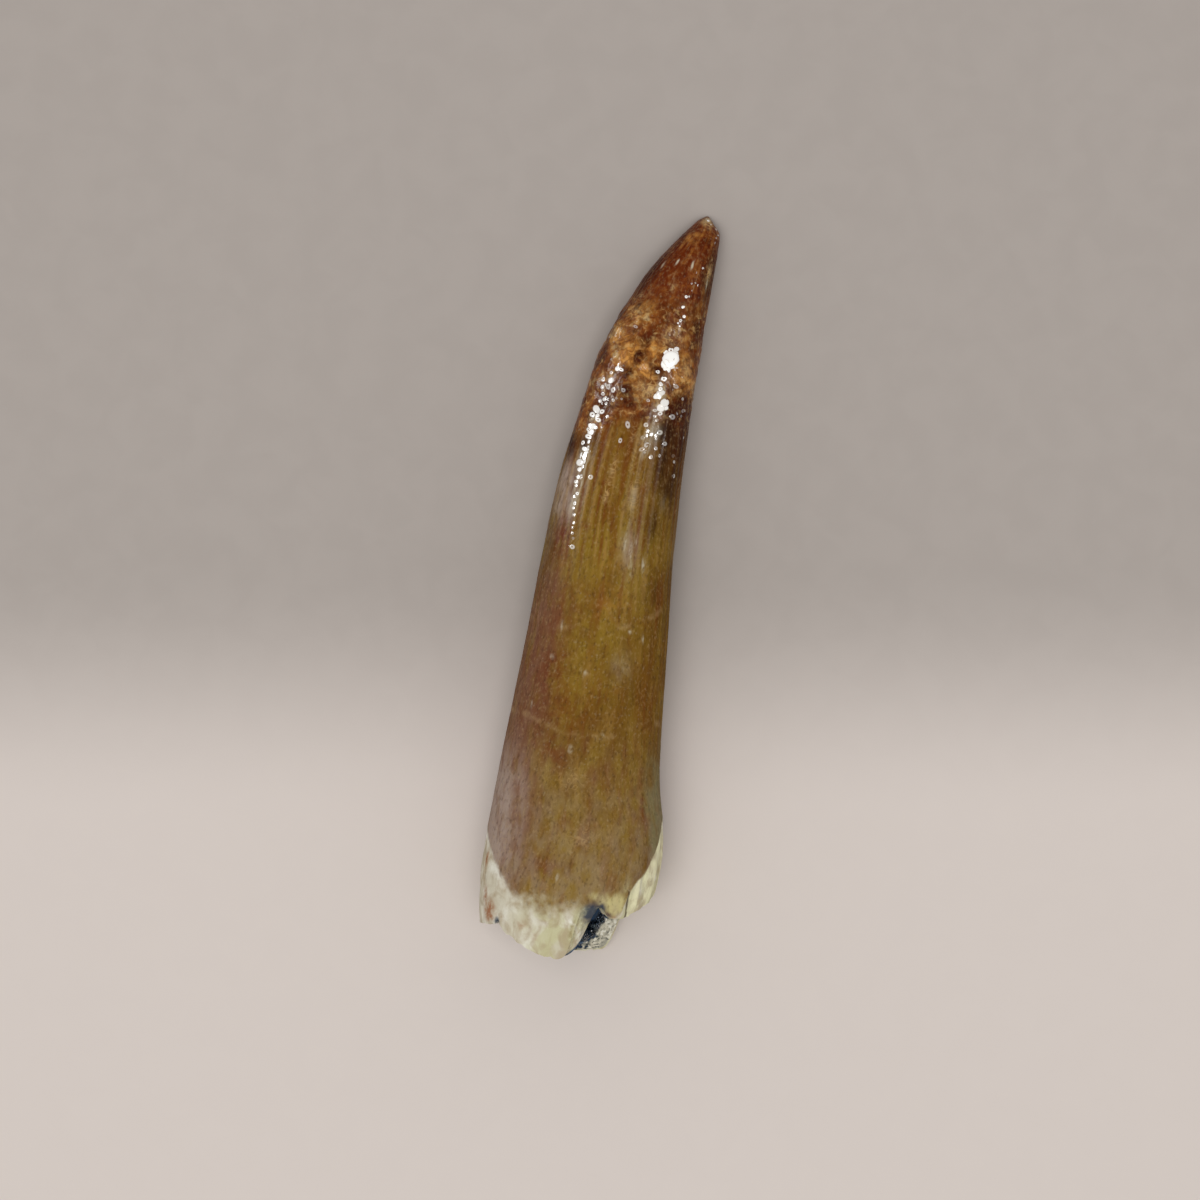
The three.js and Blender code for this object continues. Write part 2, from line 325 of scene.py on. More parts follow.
def groove(along, degrees, stops, reach):
    """1 along a line of stops, fading to 0 at reach from it or from its ends."""
    beyond = np.maximum(min(stops)[0] - along, 0) + np.maximum(along - max(stops)[0], 0)
    return np.exp(-2 * (off_line(along, degrees, stops) ** 2 + beyond**2) / reach**2)


# %% [markdown]
# The ridges are 42 waves round the tooth. Real ones aren't ruled lines: they wander a little,
# each has its own strength, and they fade towards the root. The healed band is where the crown
# was damaged and mended: it is lumpy, with a few named lumps and pits that catch the light.

# %% Relief of the crown
RIDGES = 42
RIDGE_HEIGHT = 0.03
RIDGE_WANDER = 1.3  # radians of the wave, a fifth of the way from one ridge to the next
GROWTH_LINES = [13.4, 18.3, 23.9]
GROWTH_LINE_DEPTH, GROWTH_LINE_WIDTH = 0.014, 0.09
BAND_FROM, BAND_TO = 31.2, 36.2  # the healed band
BAND_DROP = 1.6  # it starts this much lower on the left
BAND_ROUGHNESS = 0.06
UNEVENNESS = 0.02  # broad and shallow, over the whole crown
CRUMPLE = 0.012  # fine unevenness of the varnish on the tip and the healed band

LUMPS = [  # [along, degrees round, half width, height]
    [36.6, 120, 1.1, 0.14], [35.6, 150, 1.2, 0.2], [35.2, 96, 0.9, -0.14],
    [34.4, 68, 0.8, 0.26], [34.2, 130, 1.2, 0.18], [33.6, 84, 0.7, -0.24],
    [33.4, 40, 1.1, 0.18], [32.6, 106, 1.0, 0.22], [32.7, 158, 1.0, 0.14],
    [31.9, 66, 0.8, 0.14], [31.4, 132, 0.8, -0.14], [30.4, 150, 1.0, 0.12],
    [33.9, 196, 1.2, 0.16], [32.4, 232, 1.1, -0.14], [34.8, 262, 1.2, 0.12],
    [33.2, 305, 1.2, 0.18], [35.0, 340, 1.0, 0.12], [31.8, 345, 0.9, -0.12],
]


def ridge_wave(along, degrees, wander):
    """Crest 1, furrow -1. Crests are narrower than the furrows between them."""
    phase = np.radians(degrees) * RIDGES + RIDGE_WANDER * wander
    return 2 * (0.5 + 0.5 * np.cos(phase)) ** 1.4 - 0.9


def healed_band(along, degrees):
    """1 in the mended band below the tip, which reaches lower on the left."""
    low = BAND_FROM - BAND_DROP * ease(-np.cos(np.radians(degrees)), 0.1, 0.9)
    return ease(along, low - 1.3, low + 0.8) * (1 - ease(along, BAND_TO, BAND_TO + 2))


def lumps(along, degrees):
    return sum(rise * spot(along, degrees, at, around, reach) for at, around, reach, rise in LUMPS)


# %% [markdown]
# ## Building the skin
#
# A bmesh grid is the sheet of clay. Its columns go once round the tooth. Its rows run from the
# tip down the outside, over the broken edge and up the wall of the hollow, so one sheet makes
# the whole surface with no seams to hide but the one along the ground. Each vertex is moved to
# its place by the functions above; then the two long edges are welded together, and so are the
# rows at the two ends, which close as poles.

# %% Rows and columns of the sheet
COLUMNS = 7 * RIDGES
ROOT_TOP = 10  # rows below this height lean to follow the break
CROWN_LEVELS = np.concatenate([
    LENGTH - 0.9 * np.linspace(0, 1, 15) ** 1.5,
    np.linspace(41.9, 37.5, 26)[1:],
    np.linspace(37.5, 30.0, 60)[1:],
    np.linspace(30.0, ROOT_TOP, 82)[1:],
])
ROOT_ROWS = 52
RIM_ROWS = 7
CAVITY_ROWS = 38

outside_rows = len(CROWN_LEVELS) + ROOT_ROWS
rows = outside_rows + RIM_ROWS + CAVITY_ROWS
print(COLUMNS, "columns and", rows, "rows:", 2 * COLUMNS * rows, "triangles")

# %% [markdown]
# The relief adds up on the plain section. Noise is always looked up at the smooth point under a
# vertex, in millimetres, so that neighbours on the two sides of the seam agree. The enamel ends
# in a small ragged step; below it the dentine is dull, flaky and cracked.

# %% The outer skin
ENAMEL_STEP = 0.05  # the enamel stands this far proud of the root
DENTINE_FLAKES = 0.04
BITE = 0.16  # depth of the steps in the broken edge
CRACK_REACH = 0.07
CRACK_BY_NOTCH = [[5.1, 44.6], [4.6, 43.6], [3.9, 42.6]]
CRACKS = [  # stops as [along, degrees], depth
    (CRACK_BY_NOTCH, 0.14),
    ([[5.9, 168.0], [5.2, 164.5], [4.1, 161.5]], 0.10),
    ([[3.3, 131.0], [2.7, 127.0], [2.0, 124.5]], 0.05),
]


def varnish(along):
    """How thick the varnish lies: none on the lower third, full on the upper half."""
    return ease(along, 17.5, 25)


def bare_dentine(along, degrees, plain):
    """1 where the enamel is gone, with a ragged edge."""
    ragged = 0.22 * soft_noise(plain, 0.55, 3)
    return 1 - ease(along + ragged, enamel_edge(degrees) - 0.28, enamel_edge(degrees) + 0.02)


def relief(along, degrees, plain):
    """How far the skin stands out from the plain section, in millimetres."""
    wander = soft_noise(rolled(degrees, along / 6), 2.2)
    strength = 0.9 + 0.7 * soft_noise(rolled(degrees, along / 6), 0.7)
    mended = healed_band(along, degrees)
    narrowing = ease(half_width(along), 0.35, 2.4)
    ridged = (0.3 + 0.7 * ease(along, 8, 20)) * narrowing * (1 - 0.7 * mended)
    height = RIDGE_HEIGHT / 2 * ridge_wave(along, degrees, wander) * ridged * strength
    height += mended * (lumps(along, degrees) + BAND_ROUGHNESS * soft_noise(plain, 0.6, 3))
    height += UNEVENNESS * soft_noise(plain, 2.5)
    height += CRUMPLE * ease(along, 28, 33) * soft_noise(plain, 0.26)
    for line in GROWTH_LINES:
        off = (along - line - 0.25 * wander) / GROWTH_LINE_WIDTH
        height -= GROWTH_LINE_DEPTH * np.exp(-(off**2))

    bare = bare_dentine(along, degrees, plain)
    flaky = DENTINE_FLAKES * soft_noise(plain * [1, 0.45, 1], 0.5, 3) - ENAMEL_STEP
    height = height * (1 - bare) + flaky * bare
    for stops, depth in CRACKS:
        height -= depth * groove(along, degrees, stops, CRACK_REACH)
    return height


def outside(along, degrees):
    plain = on_section(along, degrees)
    return on_section(along, degrees, relief(along, degrees, plain))


def ragged_edge(edge, degrees):
    """A break follows the grain of the dentine, in small steps that only ever bite upwards."""
    return edge(degrees) + BITE * np.abs(soft_noise(rolled(degrees, 0 * degrees), 0.5, 3))


# %% [markdown]
# Over the edge the sheet crosses the broken wall, which is rough like a snapped biscuit, and
# then runs up the hollow. The dentine of the hollow has faint flutes along it.

# %% The broken edge and the hollow
RIM_ROUGHNESS = 0.11
FLUTES, FLUTE_DEPTH = 31, 0.05
WALL_ROUGHNESS = 0.05


def broken_face(share, degrees):
    """From the outer edge of the break, at 0, to the inner edge, at 1."""
    outer = outside(ragged_edge(outer_break, degrees), degrees)
    inner = on_cavity(np.zeros_like(degrees), degrees)
    across = outer * (1 - share)[:, None] + inner * share[:, None]
    rough = RIM_ROUGHNESS * soft_noise(across, 0.32, 3) * np.sin(np.pi * np.clip(share, 0, 1))
    across[:, 1] += rough + 0.03
    return across


def hollow_wall(share, degrees):
    """The wall of the hollow, from the break, at 0, to its far end, at 1."""
    plain = on_cavity(share, degrees)
    flute = FLUTE_DEPTH * np.cos(FLUTES * np.radians(degrees) + 2 * soft_noise(plain, 1.5))
    fades = ease(share, 0, 0.06) * (1 - share)
    return on_cavity(share, degrees, (flute + WALL_ROUGHNESS * soft_noise(plain, 0.6)) * fades)


def place_on_tooth(row, degrees):
    """Where each vertex of the sheet goes, from its row and angle, and its height there."""
    along = CROWN_LEVELS[np.clip(row, 0, len(CROWN_LEVELS) - 1)]
    down = np.clip((row - len(CROWN_LEVELS) + 1) / ROOT_ROWS, 0, 1)
    along = along * (1 - down) + ragged_edge(outer_break, degrees) * down
    points = outside(along, degrees)
    rim = (row >= outside_rows) & (row < outside_rows + RIM_ROWS)
    points[rim] = broken_face((row[rim] - outside_rows + 1) / RIM_ROWS, degrees[rim])
    inner = row >= outside_rows + RIM_ROWS
    share = (row[inner] - outside_rows - RIM_ROWS + 1) / CAVITY_ROWS
    points[inner] = hollow_wall(share, degrees[inner])
    apex = np.array([LENGTH])
    points[row == 0] = on_section(apex, 0.0, -half_width(apex))
    return points, np.where(row < outside_rows, along, points[:, 1])


# %% Roll the sheet into a tooth
bm = bmesh.new()
bm.loops.layers.uv.new("UVMap")
bmesh.ops.create_grid(bm, x_segments=COLUMNS, y_segments=rows - 1, size=0.5, calc_uvs=True)
flat = np.array([v.co[:2] for v in bm.verts]) + 0.5
column = np.rint(flat[:, 0] * COLUMNS).astype(int) % COLUMNS
row = rows - 1 - np.rint(flat[:, 1] * (rows - 1)).astype(int)
degrees = (270 + 360 * column / COLUMNS) % 360
points, along = place_on_tooth(row, degrees)
print("the sheet spans", np.ptp(points, axis=0).round(2), "mm")

# %% [markdown]
# The lists above count from the lowest splinter of the root, but the library counts from the
# middle of the tooth's outline. So the finished points are moved to where the CAD tooth is, and
# kept inside its box. The three numbers that the finishes need later, the height along the tooth
# and the sine and cosine of the angle round it, are stored on the vertices now.

# %% Weld it and put it in its place
to_frame = np.array([
    centre.x / MM - (points[:, 0].min() + points[:, 0].max()) / 2,
    tooth_high.y / MM - LENGTH,
    0,
])
lowest, highest = np.array(tooth_low) / MM, np.array(tooth_high) / MM


def in_frame(points):
    """Points in the tooth's own axes, in millimetres, as places in the frame in metres."""
    return np.clip(points + to_frame, lowest, highest) * MM


growth_layer = bm.verts.layers.float_vector.new("growth")
around = np.stack([np.cos(np.radians(degrees)), np.sin(np.radians(degrees)), along], axis=-1)
zone_layer = bm.verts.layers.float.new("zone")
BEAD_ZONE = -1.0  # 0 is the outside, 1 the broken rim and 2 the hollow
zone = np.where(row < outside_rows, 0.0, np.where(row < outside_rows + RIM_ROWS - 1, 1.0, 2.0))
for vertex, where, grown, part in zip(bm.verts, in_frame(points), around, zone):
    vertex.co = where
    vertex[growth_layer] = grown
    vertex[zone_layer] = part

WELD = 1e-7
bmesh.ops.remove_doubles(bm, verts=bm.verts, dist=WELD)
bmesh.ops.recalc_face_normals(bm, faces=bm.faces)
print("welded:", len(bm.verts), "vertices,", sum(e.is_boundary for e in bm.edges), "open edges,",
      "volume", round(bm.calc_volume() / MM**3), "mm3")

# %% [markdown]
# ## Beads of varnish
#
# Thick varnish drew itself together into low round beads along the places where the brush ran.
# Many of them are painted white, as a painted highlight, either all over or, where the bubble
# popped, in a ring, and the white glows a little. A bead must be low to show a lamp well: on a
# full dome the lamp shrinks to a pin point. So a bead is an ico sphere of 80 faces, squashed hard
# and sunk nearly half way into the skin. Its vertices remember how far they are from its axis,
# and how much painted highlight the bead has.
#
# Small beads stand in chains, and the large ones are listed one by one. A bead of a chain that would
# cover too much of an earlier one is left out.

# %% Places of the beads
CLOSEST = 0.66  # two beads stand at least this share of their radii apart
LAST_BEAD = 42.3  # no chain runs past this height
CHAINS = [  # from [along, degrees] to [along, degrees], how many, spread, radii in mm, painted highlight
    ([33.4, 128], [33.2, 114], 5, 0.16, (0.12, 0.20), (0.4, 1.0)),
    ([32.6, 129], [31.4, 132], 22, 0.44, (0.11, 0.20), (0.5, 1.0)),
    ([31.0, 131], [29.4, 133], 20, 0.26, (0.13, 0.22), (0.8, 1.0)),
    ([29.4, 134], [27.2, 132], 26, 0.28, (0.13, 0.22), (0.8, 1.0)),
    ([27.2, 132], [25.2, 131], 18, 0.24, (0.11, 0.19), (0.5, 1.0)),
    ([25.2, 130], [23.4, 126], 7, 0.08, (0.10, 0.14), (0.1, 0.5)),
    ([33.1, 70], [32.0, 67], 15, 0.34, (0.14, 0.26), (0.7, 1.0)),
    ([32.0, 68], [31.3, 66], 9, 0.44, (0.14, 0.25), (0.6, 1.0)),
    ([31.2, 74], [28.8, 68], 18, 0.90, (0.11, 0.17), (0.1, 0.5)),
    ([39.9, 58], [37.9, 66], 7, 0.30, (0.05, 0.08), (0.2, 0.7)),
    ([37.9, 67], [36.2, 64], 9, 0.30, (0.06, 0.12), (0.6, 1.0)),
    ([35.6, 150], [31.0, 100], 12, 1.40, (0.07, 0.12), (0.0, 0.3)),
    ([34.8, 56], [28.0, 30], 12, 0.90, (0.09, 0.15), (0.0, 0.4)),
    ([42.2, 20], [41.4, 40], 5, 0.20, (0.04, 0.07), (0.2, 0.6)),
]
BIG_BEADS = [  # [along, degrees], radius in mm, painted highlight
    ([34.45, 67.5], 0.44, 1), ([34.82, 62.5], 0.20, 1), ([34.10, 72.0], 0.24, 1),
    ([34.75, 74.0], 0.16, 1), ([34.00, 63.5], 0.20, 1), ([33.90, 68.5], 0.22, 1),
    ([34.45, 60.0], 0.16, 1), ([34.92, 69.0], 0.18, 1),
    ([35.05, 62.0], 0.14, 0.8), ([33.60, 76.5], 0.13, 0.8), ([28.2, 133.5], 0.31, 1),
    ([28.5, 130.0], 0.17, 1), ([29.42, 98.9], 0.18, 0.45), ([27.1, 119.7], 0.17, 0.5),
    ([32.2, 108.0], 0.14, 0.3), ([30.3, 60.7], 0.17, 0.4), ([29.48, 71.8], 0.17, 0.4),
    ([30.6, 119.0], 0.13, 0.3), ([31.3, 48.0], 0.18, 0.3), ([23.1, 124.8], 0.16, 0.5),
    ([33.0, 52.0], 0.14, 0.3), ([33.95, 57.0], 0.16, 0.4), ([5.08, 44.8], 0.08, 1.0),
    ([42.55, 69.0], 0.09, 1.0), ([42.36, 52.0], 0.06, 0.7),
]


def between(limits, share):
    return limits[0] + (limits[1] - limits[0]) * share


random.seed(5)
laid = list(BIG_BEADS)
for (low, low_angle), (high, high_angle), count, spread, radii, painted_highlights in CHAINS:
    for i in range(count):
        share = (i + random.random()) / count
        height = min(between((low, high), share) + random.gauss(0, spread / 2), LAST_BEAD)
        across = float(half_width(np.array(height)))
        aside = math.degrees(random.gauss(0, spread / 2) / max(across, 0.6))
        angle = between((low_angle, high_angle), share) + aside
        radius = between(radii, random.random() ** 1.5)
        painted_highlight = between(painted_highlights, random.random())
        gaps = [
            math.hypot(height - at, math.radians(angle - around_at) * across) / (radius + other)
            for (at, around_at), other, _ in laid
        ]
        if min(gaps) > CLOSEST:
            laid.append(([height, angle], radius, painted_highlight))
print(len(laid), "beads, of which", len(BIG_BEADS), "are placed by hand")

# %% [markdown]
# A bead stands square to the skin. The slope of the skin is found by asking for its places a
# little above, below, left and right of the bead. The beads get the same layers as the sheet, so
# that they can be appended to it, and two more of their own. A popped bead has a dimple.

# %% Beads
BEAD_HEIGHT = 0.10  # a bead's height against its width
HIGHEST_BEAD = 0.2  # a bead wider than this, in mm, is no higher
BEAD_SINK = 0.4  # share of its height that a bead sits below the skin
SMALL_BEAD = 0.2  # only beads of a smaller radius have popped
FAINT_HIGHLIGHT = 0.55  # all of the small ones with less painted highlight than this, and
POPPED = 0.45  # this share of the others
WHOLE = (0.35, 0.8)  # the ring of a whole bead, from axis to edge: painted white all over
DIMPLE_RADIUS, DIMPLE_HEIGHT = 0.3, 0.4  # shares of the bead's
LONGEST = 0.7  # how much longer than round a bead may be
STEP, STEP_ROUND = 0.12, 3  # mm and degrees

bead_along, bead_degrees = np.array([place for place, _, _ in laid]).T
foot = outside(bead_along, bead_degrees)
up = outside(bead_along + STEP, bead_degrees) - outside(bead_along - STEP, bead_degrees)
right, left = (outside(bead_along, bead_degrees + turn) for turn in (-STEP_ROUND, STEP_ROUND))
outward = np.cross(up, left - right)
outward /= np.linalg.norm(outward, axis=1)[:, None]

BEAD_LAYERS = ("painted_highlight", "ring")
for name in BEAD_LAYERS:
    bm.verts.layers.float.new(name)
beads = bmesh.new()
bead_growth = beads.verts.layers.float_vector.new("growth")
bead_zone = beads.verts.layers.float.new("zone")
painted_highlight_layer, ring_layer = (beads.verts.layers.float.new(name) for name in BEAD_LAYERS)
beads.loops.layers.uv.new("UVMap")
for where, normal, ((height, angle), radius, painted_highlight) in zip(foot, outward, laid):
    rise = BEAD_HEIGHT * min(1, HIGHEST_BEAD / radius)
    lean = Vector(normal).to_track_quat("Z", "Y").to_matrix().to_4x4()
    sunk = in_frame((where - normal * radius * rise * BEAD_SINK)[None])[0]
    bead = bmesh.ops.create_icosphere(beads, subdivisions=2, radius=radius * MM)["verts"]
    popped = radius < SMALL_BEAD and (painted_highlight < FAINT_HIGHLIGHT or random.random() < POPPED)
    angle = math.radians(angle)
    for vertex in bead:
        from_axis = vertex.co.xy.length / (radius * MM)
        vertex[ring_layer] = from_axis if popped else between(WHOLE, from_axis)
        vertex[painted_highlight_layer] = painted_highlight
        vertex[bead_growth] = (math.cos(angle), math.sin(angle), height)
        vertex[bead_zone] = BEAD_ZONE
        if popped and from_axis < DIMPLE_RADIUS:
            vertex.co.z *= DIMPLE_HEIGHT
    shape = Matrix.Diagonal((1, 1 + LONGEST * random.random() ** 2, rise, 1))
    bmesh.ops.transform(beads, verts=bead, matrix=Matrix.Translation(sunk) @ lean @ shape)
bead_mesh = bpy.data.meshes.new("beads")
beads.to_mesh(bead_mesh)
beads.free()
bm.from_mesh(bead_mesh)
bpy.data.meshes.remove(bead_mesh)
print("with the beads:", len(bm.verts), "vertices")

# %% Finish the mesh
SHARP = math.radians(48)


def as_object(name, from_bm):
    """The finished mesh as an object at the origin, with its place in its vertices."""
    mesh = bpy.data.meshes.new(name)
    from_bm.to_mesh(mesh)
    from_bm.free()
    made = bpy.data.objects.new(name, mesh)
    bpy.context.scene.collection.objects.link(made)
    print(name, "has", len(mesh.vertices), "vertices")
    return made


for face in bm.faces:
    face.smooth = True
for edge in bm.edges:
    edge.smooth = edge.is_boundary or edge.calc_face_angle(0.0) < SHARP
fossil_tooth = as_object("fossil_tooth", bm)

# %% [markdown]
# ## Masks for the finish
#
# Old enamel isn't one colour. Minerals from the sediment stained it in zones: dark brown, gold
# and red in the healed band, red-brown blotches. Other zones are painted light: a mauve-grey
# painted sheen on the left, a grey-green painted reflection on the right, a milky painted sheen
# and painted glints on the varnish, and painted shade along the edges, in pits and at the notch.
# Each zone is a soft mask on the vertices, and the shader later breaks its edge up with noise. A
# mask says only where; the pigment itself stays in the material.

